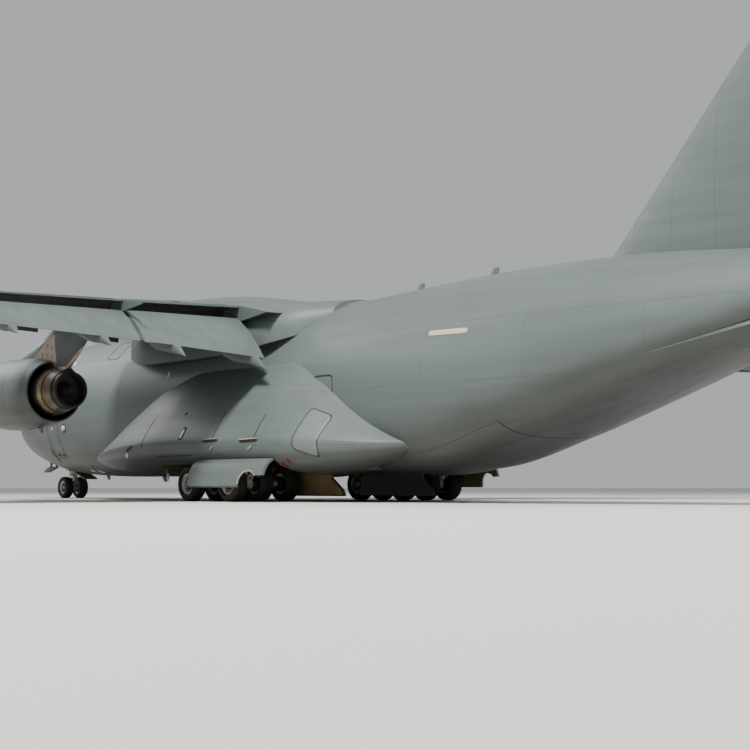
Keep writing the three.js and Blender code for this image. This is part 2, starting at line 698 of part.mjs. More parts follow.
function pylon(engine) {
  const { x, z } = engine;
  const front = wingFront(x) - ENGINE_AHEAD;
  const under = (t) => wingPoint(x, t, -1);
  const top = [0.4, 0.25, 0.12, 0.045].map(under).map(([, y, pz]) => [y - front, pz - z + 0.04]);
  const outline = [...PYLON_UNDER, ...top, ...PYLON_OVER];
  const halfWidth = (d, h) => (d < 1.4 || d > 8 ? 0.04 : h < 1.3 ? 0.17 : 0.25);
  const side = (sign) => (d, h) => [x + sign * halfWidth(d, h), front + d, z + h];
  const place = enginePlace(engine);
  const engineHull = at(cowlHull(GAP).add(coreHull(GAP)), ...place);
  return slab(outline, side(-1), side(1)).subtract(engineHull);
}

const at = (made, x, y, z) => solid(geometryOf(made).translate(x, y, z));
const grown = (profile, grow) => profile.map(([r, d]) => [r ? r + grow : 0, d]);
const turnedEngine = (profile) => turned(profile, ENGINE_SIDES, "y", [0, 0, 0]);
const coreHull = (grow) => turnedEngine([...grown(CORE.slice(0, CORE_OUTSIDE), grow), [0, 5.85]]);
const cowlHull = (grow) => turnedEngine([[0, 0], ...grown(COWL.slice(0, COWL_OUTSIDE), grow), [0, 4.5]]);
const enginePlace = ({ x, z }) => [x, wingFront(x) - ENGINE_AHEAD, z];
const VANES = 4;

function engineParts(engine) {
  const place = enginePlace(engine);
  const core = turnedEngine(CORE).subtract(bore([0, 1.6, 0], [0, 2.0, 0], FAN.shaft, 12));
  // struts across the fan duct, which carry the core in the cowl
  let nacelle = cowl();
  for (let k = 0; k < VANES; k++) {
    const vane = new THREE.BoxGeometry(0.1, 0.4, 0.75).translate(0, 2.1, 0.85);
    vane.rotateY((2 * Math.PI * (k + 0.5)) / VANES);
    nacelle = nacelle.add(solid(vane).subtract(coreHull(GAP)));
  }
  return [nacelle, core, fan()].map((made) => at(made, ...place));
}

function fan() {
  const { radius, at: face, depth, blades, spinner, shaft } = FAN;
  let made = turned([[0, 0.72], [0.2, 0.86], [spinner, 1.28], [spinner, 1.6], [0, 1.6]], 10, "y", [0, 0, 0]);
  made = made.add(bar([0, 1.5, 0], [0, 1.95, 0], shaft, 12));
  for (let k = 0; k < blades; k++) {
    const blade = new THREE.BoxGeometry(0.035, depth, radius - 0.25);
    blade.rotateZ(THREE.MathUtils.degToRad(38)).translate(0, face + 0.1, (radius + 0.25) / 2 - 0.01);
    blade.rotateY((2 * Math.PI * (k + 0.5)) / blades);
    made = made.add(solid(blade));
  }
  return made;
}

// Landing-gear pods: station, outer x, bottom, top, height of greatest width
const POD = [
  [13.8, 3.5, 1.52, 1.9, 1.72],
  [15.2, 4.15, 1.2, 3.1, 1.86],
  [17.2, 4.78, 1.0, 4.5, 2.0],
  [19.6, 5.25, 0.92, 5.5, 2.1],
  [22.0, 5.42, 0.9, 5.95, 2.15],
  [27.5, 5.42, 0.9, 5.95, 2.15],
  [29.4, 5.1, 0.96, 5.2, 2.1],
  [31.2, 4.4, 1.15, 3.9, 2.05],
  [32.4, 3.72, 1.4, 3.0, 2.0],
  [33.4, 2.9, 1.7, 2.3, 2.0],
];
const POD_INNER_X = 1.9;
const BAY = { from: 21.6, to: 28.9, inner: 1.8, outer: 5.05, roof: 2.68, floorEdge: 1.5, doorFrom: 24.5 };
// Behind the wheels the pod narrows, and the bay's roof steps down with it.
const BAY_AFT = { from: 27.5, roof: 2.2 };

function pod() {
  const rings = POD.map(([y, outer, low, top, middle]) => {
    const wide = outer - POD_INNER_X;
    const ring = [];
    for (let i = 0; i <= 8; i++) {
      const angle = -Math.PI / 2 + (Math.PI / 2) * (i / 8);
      const [c, s] = [Math.cos(angle), -Math.sin(angle)];
      ring.push([POD_INNER_X + wide * c ** (2 / 3), y, middle - (middle - low) * s ** (2 / 3)]);
    }
    for (let i = 1; i <= 8; i++) {
      const angle = (Math.PI / 2) * (i / 8);
      const [c, s] = [Math.cos(angle), Math.sin(angle)];
      ring.push([POD_INNER_X + wide * Math.abs(c) ** 1.65, y, middle + (top - middle) * s ** 1.65]);
    }
    return ring;
  });
  const bay = BAY;
  return solid(loft(rings))
    .subtract(hull(12, 35, -GAP))
    .subtract(box(bay.inner, bay.outer, bay.from, BAY_AFT.from, 0, bay.roof))
    .subtract(box(bay.inner, bay.outer, bay.from, bay.to, 0, BAY_AFT.roof))
    .subtract(box(bay.inner, 7, bay.doorFrom, bay.to, 0, bay.floorEdge))
    .subtract(box(0, RAMP_HALF_WIDTH + 2 * CLEAR, HOLD_END - CLEAR, 35, 0, 4)); // the ramp's way down
}

// The pod's outer door, swung up and out: its section from hinge to free edge, and its thickness
const OUTER_DOOR = [
  [5.4, 1.44],
  [5.62, 1.36],
  [5.78, 1.18],
  [5.88, 0.92],
  [5.92, 0.56],
];
const DOOR_THICKNESS = 0.07;

function outerDoor() {
  const lower = OUTER_DOOR.map(([x, z]) => [x - DOOR_THICKNESS, z - DOOR_THICKNESS * 0.8]).reverse();
  const outline = [...OUTER_DOOR, ...lower];
  const [y0, y1] = [BAY.doorFrom + CLEAR, BAY.to - CLEAR];
  const panel = slab(outline, (x, z) => [x, y0, z], (x, z) => [x, y1, z]);
  const arms = [25.5, 27.7].map((y) => box(4.9, 5.36, y - 0.1, y + 0.1, 1.34, BAY.floorEdge - GAP));
  return union(panel, ...arms);
}

// The bay's inner door, hanging from the keel: outline as station and height
const INNER_DOOR = [
  [24.7, 1.7],
  [24.7, 0.2],
  [29.05, 0.2],
  [28.95, 0.42],
  [28.35, 0.86],
  [28.35, 1.7],
];
const INNER_DOOR_X = 2.1;

function innerDoor() {
  const face = (x) => (y, z) => [x - (1.2 - z) * 0.08, y, z];
  const panel = slab(INNER_DOOR, face(INNER_DOOR_X), face(INNER_DOOR_X + DOOR_THICKNESS));
  return panel.subtract(hull(16, 34, -GAP));
}

// Main gear
const MAIN_AXLES = [23.75, 26.4];
const MAIN_TYRE = { radius: 0.635, width: 0.53, x: [5.05, 3.92, 2.8] };
const NOSE_TYRE = { radius: 0.508, width: 0.4, x: [-0.385, 0.385] };
const LEG_X = 4.485;
const AXLE_RADIUS = 0.085;
const WHEEL_SIDES = 14;

function mainGear() {
  const parts = [bar([LEG_X, MAIN_AXLES[0] - 0.3, 2.45], [LEG_X, MAIN_AXLES[1] + 0.3, 2.45], 0.13, 8)];
  for (const y of MAIN_AXLES) {
    const z = MAIN_TYRE.radius;
    parts.push(bar([LEG_X, y, 1.2], [LEG_X, y, BAY.roof - GAP], 0.2, 8));
    parts.push(bar([LEG_X, y, z], [LEG_X, y, 1.3], 0.15, 8));
    parts.push(bar([LEG_X - 0.22, y, z], [LEG_X + 0.22, y, z], 0.17, 12));
    parts.push(bar([LEG_X, y, 1.5], [LEG_X - 0.9, y - 0.5, BAY.roof - 0.1], 0.075, 6));
    parts.push(box(LEG_X - 1.0, LEG_X - 0.75, y - 0.65, y - 0.35, BAY.roof - 0.2, BAY.roof - GAP));
    parts.push(box(LEG_X - 0.06, LEG_X + 0.06, y + 0.1, y + 0.34, 0.75, 1.25));
  }
  let made = union(...parts);
  for (const y of MAIN_AXLES) {
    const [start, end] = [LEG_X - 0.4, LEG_X + 0.4].map((x) => [x, y, MAIN_TYRE.radius]);
    made = made.subtract(bore(start, end, AXLE_RADIUS, 12));
  }
  return made;
}

function wheel(tyre, x, y) {
  const { radius: r, width: w } = tyre;
  const half = [[0, 0.35], [0.6, 0.38], [0.88, 0.5], [1, 0.32]];
  const side = (sign) => half.map(([a, b]) => [a * r, sign * b * w]);
  return turned([...side(-1), ...side(1).reverse()], WHEEL_SIDES, "x", [x, y, r]);
}

function wheelSet(tyre, xs, y, reach) {
  const wheels = xs.map((x) => wheel(tyre, x, y));
  return union(bar([reach[0], y, tyre.radius], [reach[1], y, tyre.radius], AXLE_RADIUS, 12), ...wheels);
}

// Nose gear
const NOSE_AXLE_Y = 5.0;
const PISTON_RADIUS = 0.11;
const REAR_NOSE_DOOR = [
  [5.5, 1.36],
  [6.75, 0.94],
  [6.74, 0.89],
  [5.5, 1.3],
];

function noseLeg() {
  const y = NOSE_AXLE_Y;
  const parts = [
    bar([0, y, 1.22], [0, y, NOSE_BAY.roof - GAP], 0.18, 16),
    bar([0, y, 1.35], [0, y - 1.0, NOSE_BAY.roof - 0.08], 0.06, 8),
    box(-0.16, 0.16, y - 1.15, y - 0.85, NOSE_BAY.roof - 0.18, NOSE_BAY.roof - GAP),
    bar([-0.42, y, 1.8], [0.42, y, 1.8], 0.09, 12),
    // the door behind the leg, on its two rods
    slab(REAR_NOSE_DOOR, (v, z) => [-0.36, v, z], (v, z) => [0.36, v, z]),
    bar([-0.2, y + 0.05, 1.45], [-0.2, y + 0.7, 1.3], 0.04, 8),
    bar([0.2, y + 0.05, 1.45], [0.2, y + 0.7, 1.3], 0.04, 8),
    bar([-0.26, y, 1.45], [0.26, y, 1.45], 0.07, 8),
  ];
  return union(...parts).subtract(bore([0, y, 1.0], [0, y, 1.75], PISTON_RADIUS, 16));
}

function noseFork() {
  const y = NOSE_AXLE_Y;
  const z = NOSE_TYRE.radius;
  const parts = [
    bar([0, y, z], [0, y, 1.7], PISTON_RADIUS, 16),
    bar([0, y, 1.1], [0, y, 1.2], 0.2, 16),
    bar([-0.14, y, z], [0.14, y, z], 0.15, 12),
    box(-0.05, 0.05, y + 0.1, y + 0.3, 0.62, 1.12),
    box(-0.07, 0.07, y - 0.3, y - 0.08, 0.44, 0.58),
  ];
  return union(...parts).subtract(bore([-0.3, y, z], [0.3, y, z], AXLE_RADIUS, 12));
}

// Nose-gear doors: a pair in front of the leg, swung out to the sides
function noseDoor() {
  const x = NOSE_BAY.halfWidth - 0.05;
  const outline = [[3.62, 0], [3.68, 0.3], [3.95, 0.5], [4.55, 0.5], [4.62, 0]];
  const face = (lift) => (y, reach) => [x + reach * 0.86 + lift * 0.5, y, 1.5 - reach * 0.5 + lift * 0.86];
  const panel = slab(outline, face(-0.04), face(0)).subtract(hull(2, 8, -GAP));
  const lugs = [3.85, 4.4].map((y) => box(x - 0.05, NOSE_BAY.halfWidth - GAP, y - 0.06, y + 0.06, 1.42, 2.0));
  return union(panel, ...lugs);
}

// Fin and tailplane
const FIN = { low: 6.9, top: 15.95 };
const finFront = (z) => 39.7 + (z - 7.4) * 0.94;
const finBack = (z) => 48.4 + (z - 7.4) * 0.52;
const TAIL_SHARES = [0, 0.03, 0.13, 0.35, 0.6, 0.8, 1];
function symmetric(front, back, thick, place) {
  const side = (half) => TAIL_SHARES.map((t) => place(mix(front, back, t), half * sectionShape(t)));
  return [...side(thick), ...side(-thick).slice(1).reverse()];
}
const finThickness = (z) => mix(0.5, 0.33, (z - 7.9) / 8);

const finRing = (z) => symmetric(finFront(z), finBack(z), finThickness(z), (y, x) => [x, y, z]);

const STAB = { z: 16.22, tipX: 9.905, fall: 0.03 };
const TAIL_Y = NOSE_Y + LENGTH;
const stabFront = (x) => 47.3 + 0.52 * x;
const stabBack = (x) => TAIL_Y + 0.185 * (x - STAB.tipX);
const stabThickness = (x) => mix(0.3, 0.12, x / STAB.tipX);
const stabRing = (x) =>
  symmetric(stabFront(x), stabBack(x), stabThickness(x), (y, dz) => [x, y, STAB.z - STAB.fall * x + dz]);

// A point on a hinge line and the radius of the surface's nose there
function hingeOn(front, back, share, thick) {
  return { y: front + share * (back - front), r: thick * sectionShape(share) * 0.97 };
}

const RUDDER_SHARE = 0.66;
const RUDDERS = [
  { name: "lower", from: 8.3, to: 11.7 },
  { name: "upper", from: 11.75, to: 15.45 },
];
const ELEVATOR = { from: 0.75, to: 9.3, share: 0.7 };

function finAndRudders() {
  let fin = solid(loft([FIN.low, FIN.top].map(finRing)));
  const rudders = {};
  for (const { name, from, to } of RUDDERS) {
    const ends = [from, to].map((z) => hingeOn(finFront(z), finBack(z), RUDDER_SHARE, finThickness(z)));
    const [a, b] = [[0, ends[0].y, from], [0, ends[1].y, to]];
    const parts = controlSurface(fin, a, b, ends.map(({ r }) => r), [0, 1, 0]);
    fin = parts.fixed;
    rudders[name] = parts.moving;
  }
  fin = fin.subtract(hull(36, 50.25, -GAP)).subtract(bullet(GAP));
  return { fin, rudders };
}

const BULLET = [
  [0, 0],
  [0.16, 0.25],
  [0.34, 0.9],
  [0.5, 2.0],
  [0.56, 3.3],
  [0.5, 5.2],
  [0.32, 7.0],
  [0, 7.8],
];
const BULLET_START = 46.1;
const bullet = (grow) =>
  turned(BULLET.map(([r, d]) => [r ? r + grow : 0, d]), 16, "y", [0, BULLET_START, HEIGHT - 0.56]);

function tailplane() {
  let half = solid(loft([0, STAB.tipX].map(stabRing)));
  const ends = [ELEVATOR.from, ELEVATOR.to].map((x) => ({
    x,
    ...hingeOn(stabFront(x), stabBack(x), ELEVATOR.share, stabThickness(x)),
  }));
  const [a, b] = ends.map(({ x, y }) => [x, y, STAB.z - STAB.fall * x]);
  const parts = controlSurface(half, a, b, ends.map(({ r }) => r), [0, 1, 0]);
  half = parts.fixed;
  return { stabilizer: union(half, mirrored(half), bullet(0)), elevator: parts.moving };
}

// Winglet on the port tip: base and top rings
function winglet() {
  const ring = (x, z, front, back, thick) => symmetric(front, back, thick, (y, dx) => [x + dx, y, z]);
  const tip = TIP_X;
  const z = wingHeight(tip);
  const base = ring(tip - 0.06, z - 0.06, wingFront(tip) + 0.1, wingBack(tip), 0.14);
  const knee = ring(tip + 0.12, z + 0.25, wingFront(tip) + 0.45, wingBack(tip) + 0.05, 0.12);
  const top = ring(HALF_SPAN - 0.05, z + 2.65, wingFront(tip) + 2.5, wingBack(tip) + 0.9, 0.05);
  return solid(loft([base, knee, top]));
}

function wingParts() {
  let wing = solid(loft([WING_ROOT_X, KINK_X, 17.05, TIP_X].map(wingRing)));
  const flaps = {};
  for (const span of FLAPS) {
    const { name, from, to, hinges } = span;
    wing = wing.subtract(solid(loft([sectionAt(from - FLAP_SLIP, COVE), sectionAt(to + CLEAR, COVE)])));
    let flap = solid(loft([sectionAt(from, FLAP), sectionAt(to, FLAP)]));
    for (const x of hinges) {
      const { ear, lug } = hingeFittings(span, x);
      wing = wing.add(canoe(x, FIXED_CANOE)).add(ear);
      flap = flap.add(canoe(x, MOVING_CANOE)).add(lug);
    }
    flaps[name] = turnedAbout(flap, flapHinge(from), flapHinge(to), -FLAP_ANGLE);
  }
  const ends = [AILERON.from, AILERON.to].map((x) => {
    const [upper, lower] = [wingPoint(x, AILERON.hinge, 1), wingPoint(x, AILERON.hinge, -1)];
    return { point: [x, upper[1], (upper[2] + lower[2]) / 2], r: ((upper[2] - lower[2]) / 2) * 0.96 };
  });
  const surface = controlSurface(wing, ends[0].point, ends[1].point, ends.map(({ r }) => r), [0, 1, 0]);
  wing = surface.fixed;
  for (const engine of ENGINES) wing = wing.add(pylon(engine));
  for (const span of SLATS) for (const piece of slat(span)) wing = wing.add(piece);
  wing = wing.add(winglet());
  return { wing, flaps, aileron: surface.moving };
}

// Finishes
const paint = (color, roughness = 0.55, metalness = 0) =>
  new THREE.MeshStandardMaterial({ color, roughness, metalness });
const FINISH = {
  grey: paint(0x6f7876),
  darkGrey: paint(0x4d5453),
  primer: paint(0xa08f68, 0.7),
  gearWhite: paint(0xb4b4ac, 0.45),
  tyre: paint(0x1b1c1c, 0.85),
  nozzle: paint(0x8a7a66, 0.4, 0.9),
  fanMetal: paint(0x6a6d70, 0.35, 0.8),
  glass: paint(0x1a2226, 0.1),
  floor: paint(0x7a7c78, 0.6),
};

const stations = new THREE.Group();
stations.position.y = -NOSE_Y - LENGTH / 2;
const plane = new THREE.Group();
plane.scale.setScalar(MODEL_MM_PER_M);
plane.add(stations);
const root = new THREE.Group();
root.add(plane);

function add(name, made, finish) {
  const mesh = new THREE.Mesh(geometryOf(made), finish);
  mesh.name = name;
  stations.add(mesh);
}

function addPair(name, made, finish) {
  add(name + "_left", made, finish);
  add(name + "_right", mirrored(made), finish);
}

add("nose_section", noseSection(), FINISH.grey);
add("centre_section", centreSection(), FINISH.grey);
add("tail_section", tailSection(), FINISH.grey);
add("cockpit_glass", cockpitGlass(), FINISH.glass);
add("flight_deck", flightDeck(), FINISH.darkGrey);
add("cargo_floor", cargoFloor(), FINISH.floor);
add("crew_door", crewDoor(), FINISH.grey);
add("cargo_ramp", cargoRamp(), FINISH.grey);
add("cargo_door", cargoDoor(), FINISH.grey);
add("wing_fairing", wingFairing(), FINISH.grey);

const port = wingParts();
addPair("wing", port.wing.subtract(saddle(GAP)).subtract(hull(12, 32, -GAP)), FINISH.grey);
addPair("aileron", port.aileron, FINISH.grey);
for (const { name } of FLAPS) addPair("flap_" + name, port.flaps[name], FINISH.grey);

for (const engine of ENGINES) {
  const [nacelle, core, rotor] = engineParts(engine);
  addPair("nacelle_" + engine.name, nacelle, FINISH.grey);
  addPair("engine_core_" + engine.name, core, FINISH.nozzle);
  addPair("fan_" + engine.name, rotor, FINISH.fanMetal);
}

addPair("gear_pod", pod(), FINISH.grey);
addPair("pod_outer_door", outerDoor(), FINISH.grey);
addPair("pod_inner_door", innerDoor(), FINISH.primer);
addPair("main_gear", mainGear(), FINISH.gearWhite);
MAIN_AXLES.forEach((y, k) => {
  const name = k ? "main_wheels_rear" : "main_wheels_front";
  const reach = [MAIN_TYRE.x[2] - 0.15, MAIN_TYRE.x[0] + 0.15];
  addPair(name, wheelSet(MAIN_TYRE, MAIN_TYRE.x, y, reach), FINISH.tyre);
});
add("nose_leg", noseLeg(), FINISH.gearWhite);
add("nose_fork", noseFork(), FINISH.gearWhite);
add("nose_wheels", wheelSet(NOSE_TYRE, NOSE_TYRE.x, NOSE_AXLE_Y, [-0.48, 0.48]), FINISH.tyre);
addPair("nose_door", noseDoor(), FINISH.grey);

const { fin, rudders } = finAndRudders();
add("fin", fin, FINISH.grey);
for (const { name } of RUDDERS) add("rudder_" + name, rudders[name], FINISH.grey);
const tail = tailplane();
add("stabilizer", tail.stabilizer, FINISH.grey);
addPair("elevator", tail.elevator, FINISH.grey);

export default root;
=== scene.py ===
"""Four-engined military transport plane with a high wing and a T-tail, parked on its landing gear."""
from functools import lru_cache
from math import acos, asin, cos, pi, radians, sin, sqrt

import bmesh
import bpy
import numpy as np
from mathutils import Matrix, Vector


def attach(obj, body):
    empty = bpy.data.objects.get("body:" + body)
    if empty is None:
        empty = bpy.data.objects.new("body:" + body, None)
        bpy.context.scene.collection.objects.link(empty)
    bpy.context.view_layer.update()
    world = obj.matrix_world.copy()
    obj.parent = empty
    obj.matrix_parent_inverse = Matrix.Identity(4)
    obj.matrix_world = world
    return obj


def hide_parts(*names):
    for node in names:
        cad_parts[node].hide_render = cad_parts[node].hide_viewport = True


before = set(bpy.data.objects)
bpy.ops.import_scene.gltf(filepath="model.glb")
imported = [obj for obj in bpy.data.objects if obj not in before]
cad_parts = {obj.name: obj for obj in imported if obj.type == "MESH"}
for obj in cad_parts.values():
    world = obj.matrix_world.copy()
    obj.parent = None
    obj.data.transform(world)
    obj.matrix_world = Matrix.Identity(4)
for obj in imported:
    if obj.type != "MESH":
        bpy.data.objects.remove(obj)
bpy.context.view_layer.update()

# Sizes are in metres of the full-size plane: x to port, y the station aft of a datum ahead of the nose,
# z up from the ground. place() brings them to the half-scale model's frame.
SCALE = 0.5
NOSE_Y = 1.6
LENGTH = 53.04
MIDDLE_Y = NOSE_Y + LENGTH / 2
HALF_SPAN = 25.87
HEIGHT = 16.79
# gaps between fixed neighbours and round pieces that move, and the thickness of the fuselage's wall
GAP = 0.001
CLEAR = 0.02
WALL = 0.14
# stations where the nose section, the hold, the ramp and the cargo door end
NOSE_END = 12.0
HOLD_END = 30.9
RAMP_END = 37.5
DOOR_END = 45.2
FLOOR_Z = 1.63
# how far past the walls of a bay its lining is painted
PAINT_MARGIN = 0.01
# an edge sharper than this keeps its crease in the shading
CREASE = radians(32)


# Shapes: a shape is (points, faces), and is closed


def place(points):
    return (np.asarray(points, float) - (0.0, MIDDLE_Y, 0.0)) * SCALE


def loft(rings, capped):
    """Quads through rings of equal length, with a face over each end."""
    rings = [np.asarray(ring, float) for ring in rings]
    count = len(rings[0])
    faces = []
    for k in range(len(rings) - 1):
        for i in range(count):
            a, b = k * count + i, k * count + (i + 1) % count
            faces.append((a, b, b + count, a + count))
    if capped:
        last = (len(rings) - 1) * count
        faces.append(tuple(range(count - 1, -1, -1)))
        faces.append(tuple(range(last, last + count)))
    return np.concatenate(rings), faces


def outward(shape):
    """The shape with its doubles merged and its faces turned outwards."""
    points, faces = shape
    mesh = bmesh.new()
    verts = [mesh.verts.new(p) for p in points]
    for face in faces:
        mesh.faces.new([verts[i] for i in face])
    bmesh.ops.remove_doubles(mesh, verts=mesh.verts, dist=1e-6)
    bmesh.ops.recalc_face_normals(mesh, faces=mesh.faces)
    mesh.verts.index_update()
    made = np.array([v.co[:] for v in mesh.verts]), [tuple(v.index for v in f.verts) for f in mesh.faces]
    mesh.free()
    return made


def solid_loft(rings, capped=True):
    return outward(loft(rings, capped))


def joined(*shapes):
    points, faces, start = [], [], 0
    for shape_points, shape_faces in shapes:
        points.append(np.asarray(shape_points, float))
        faces += [tuple(i + start for i in face) for face in shape_faces]
        start += len(shape_points)
    return np.concatenate(points), faces


def mirrored(shape):
    points, faces = shape
    return points * (-1.0, 1.0, 1.0), [face[::-1] for face in faces]


def both_sides(shape):
    return joined(shape, mirrored(shape))


def moved(shape, x, y=0.0, z=0.0):
    return shape[0] + (x, y, z), shape[1]


def turned_about(shape, start, end, angle):
    """The shape turned by an angle about the line from start to end."""
    axis = Vector(end) - Vector(start)
    turn = Matrix.Rotation(angle, 3, axis.normalized())
    return (shape[0] - start) @ np.array(turn).T + start, shape[1]


def box(x0, x1, y0, y1, z0, z1):
    ring = [(x0, z0), (x1, z0), (x1, z1), (x0, z1)]
    return solid_loft([[(x, y, z) for x, z in ring] for y in (y0, y1)])


def beam(start, end, width, depth, up=(0, 0, 1)):
    """A straight bar with a rectangular section and narrow chamfers."""
    start, end = np.asarray(start, float), np.asarray(end, float)
    along = (end - start) / np.linalg.norm(end - start)
    side = np.cross(along, up)
    side /= np.linalg.norm(side)
    over = np.cross(side, along)
    w, d, c = width / 2, depth / 2, min(width, depth) * 0.12
    outline = [
        (-w, c - d), (-w, d - c), (c - w, d), (w - c, d),
        (w, d - c), (w, c - d), (w - c, -d), (c - w, -d),
    ]
    return solid_loft([[p + side * u + over * v for u, v in outline] for p in (start, end)])


def across_axis(start, end):
    """Two unit vectors square to the line from start to end, and to each other."""
    along = (Vector(end) - Vector(start)).normalized()
    helper = Vector((0, 0, 1)) if abs(along.z) < 0.9 else Vector((1, 0, 0))
    side = along.cross(helper).normalized()
    return np.array(side), np.array(along.cross(side))


def tube(route, radii, sides=16):
    """A round bar along a route of points, with a radius at each."""
    route = [np.asarray(p, float) for p in route]
    if np.isscalar(radii):
        radii = [radii] * len(route)
    rings = []
    last = len(route) - 1
    for k, (centre, radius) in enumerate(zip(route, radii)):
        side, other = across_axis(route[max(k - 1, 0)], route[min(k + 1, last)])
        angles = np.arange(sides) * 2 * pi / sides
        rings.append(centre + radius * (np.outer(np.cos(angles), side) + np.outer(np.sin(angles), other)))
    return solid_loft(rings)


def stepped_rod(start, end, steps, sides=24):
    """A round bar with steps and collars, given as (share of the way, radius)."""
    start, end = np.asarray(start, float), np.asarray(end, float)
    side, other = across_axis(start, end)
    angles = np.arange(sides) * 2 * pi / sides
    spokes = np.outer(np.cos(angles), side) + np.outer(np.sin(angles), other)
    return solid_loft([start + (end - start) * share + radius * spokes for share, radius in steps])


def turned(profile, axis, centre=(0, 0, 0), sides=64):
    """A turned body from a closed profile of (radius, distance along the axis)."""
    profile = np.asarray(profile, float)
    rings = []
    for k in range(sides):
        c, s = cos(2 * pi * k / sides), sin(2 * pi * k / sides)
        r, d = profile[:, 0], profile[:, 1]
        columns = {"x": (d, r * c, r * s), "y": (r * c, d, r * s), "z": (r * c, r * s, d)}[axis]
        rings.append(np.stack(columns, 1) + centre)
    return solid_loft(rings + [rings[0]], capped=False)


def arms(outline, thickness, spot):
    """A flat part: spot places an outline point (u, v) at an offset across the part."""
    return solid_loft([[spot(u, v, off) for u, v in outline] for off in (-thickness / 2, thickness / 2)])


def smooth_curve(knots, values, places):
    """Monotone cubic through the knots, so that a smooth form keeps its table's straight stretches."""
    knots, values = np.asarray(knots, float), np.asarray(values, float)
    steps = np.diff(knots)
    slopes = np.diff(values) / steps
    tangents = np.zeros(len(knots))
    for i in range(1, len(knots) - 1):
        if slopes[i - 1] * slopes[i] > 0:
            w0, w1 = 2 * steps[i] + steps[i - 1], steps[i] + 2 * steps[i - 1]
            tangents[i] = (w0 + w1) / (w0 / slopes[i - 1] + w1 / slopes[i])
    tangents[0], tangents[-1] = slopes[0], slopes[-1]
    places = np.asarray(places, float)
    k = np.clip(np.searchsorted(knots, places, side="right") - 1, 0, len(knots) - 2)
    t = (places - knots[k]) / steps[k]
    return (
        values[k] * (1 + 2 * t) * (1 - t) ** 2
        + steps[k] * tangents[k] * t * (1 - t) ** 2
        + values[k + 1] * t * t * (3 - 2 * t)
        + steps[k] * tangents[k + 1] * t * t * (t - 1)
    )


def mesh_object(name, shape):
    points, faces = shape
    mesh = bpy.data.meshes.new(name)
    mesh.from_pydata([tuple(p) for p in points], [], [tuple(f) for f in faces])
    thing = bpy.data.objects.new(name, mesh)
    bpy.context.scene.collection.objects.link(thing)
    return thing


def evaluated(thing):
    """The object's mesh with its modifiers applied, as a shape; the object is removed."""
    graph = bpy.context.evaluated_depsgraph_get()
    mesh = bpy.data.meshes.new_from_object(thing.evaluated_get(graph))
    points = np.array([v.co[:] for v in mesh.vertices])
    faces = [tuple(p.vertices) for p in mesh.polygons]
    thing.modifiers.clear()
    bpy.data.objects.remove(thing)
    bpy.data.meshes.remove(mesh)
    return points, faces


def boolean(shape, tool, operation):
    thing, cutter = mesh_object("shape", shape), mesh_object("cutter", tool)
    step = thing.modifiers.new("cut", "BOOLEAN")
    step.operation, step.object, step.solver = operation, cutter, "EXACT"
    made = evaluated(thing)
    bpy.data.objects.remove(cutter)
    return made


def cut(shape, *cutters):
    for cutter in cutters:
        shape = boolean(shape, cutter, "DIFFERENCE")
    return shape


def common(shape, cutter):
    return boolean(shape, cutter, "INTERSECT")


def piece(name, shape, finish, body="airframe", stands_for=(), slot="grey_paint", inner=None):
    """A finished piece: in the model's frame, with its finish, riding on its body.

    inner is (test, finish): faces whose middle passes the test get that finish.
    """
    points, faces = shape
    thing = mesh_object(name, (place(points), faces))
    mesh = thing.data
    mesh.materials.append(FINISH[finish])
    if inner:
        mesh.materials.append(FINISH[inner[1]])
        for polygon in mesh.polygons:
            if inner[0](*np.mean([points[i] for i in polygon.vertices], axis=0)):
                polygon.material_index = 1
    mesh.shade_smooth()
    mesh.set_sharp_from_angle(angle=CREASE)
    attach(thing, body)
    if stands_for:
        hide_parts(*([stands_for] if isinstance(stands_for, str) else stands_for))
    return thing


def pair(name, shape, finish, body="airframe", stands_for=None, slot="grey_paint", inner=None):
    """A port piece and its mirror image; SIDE in a name stands for left or right."""
    for side, made in (("left", shape), ("right", mirrored(shape))):
        node = stands_for.replace("SIDE", side) if stands_for else ()
        flipped = inner and ((lambda x, y, z, test=inner[0]: test(abs(x), y, z)), inner[1])
        piece(f"{name}_{side}", made, finish, body.replace("SIDE", side), node, slot, flipped)


# Copies in rows and rings


SOCKETS = (
    # name, kind
    ("Part", "Geometry"),
    ("Count", "Int"),
    ("Step", "Vector"),
    ("Turn", "Vector"),
    ("Centre", "Vector"),
    ("Finish", "Material"),
)


def repeat_tree():
    """Geometry nodes that set copies of a part, each a step and a turn on from the one before."""
    tree = bpy.data.node_groups.new("copies in a row or ring", "GeometryNodeTree")
    for name, kind in SOCKETS:
        tree.interface.new_socket(name, in_out="INPUT", socket_type=f"NodeSocket{kind}")
    tree.interface.new_socket("Copies", in_out="OUTPUT", socket_type="NodeSocketGeometry")
    given = add_node(tree, "NodeGroupInput").outputs
    line = add_node(
        tree, "GeometryNodeMeshLine", {"Count": given["Count"], "Offset": given["Step"]}, mode="OFFSET")
    index = add_node(tree, "GeometryNodeInputIndex")
    turn = add_node(
        tree, "ShaderNodeVectorMath", {0: given["Turn"], "Scale": index.outputs[0]}, operation="SCALE")
    copies = add_node(
        tree, "GeometryNodeInstanceOnPoints",
        {"Points": line.outputs[0], "Instance": given["Part"], "Rotation": turn.outputs[0]})
    centred = add_node(
        tree, "GeometryNodeTransform", {"Geometry": copies.outputs[0], "Translation": given["Centre"]})
    real = add_node(tree, "GeometryNodeRealizeInstances", {"Geometry": centred.outputs[0]})
    painted = add_node(
        tree, "GeometryNodeSetMaterial", {"Geometry": real.outputs[0], "Material": given["Finish"]})
    add_node(tree, "NodeGroupOutput", {"Copies": painted.outputs[0]})
    return tree


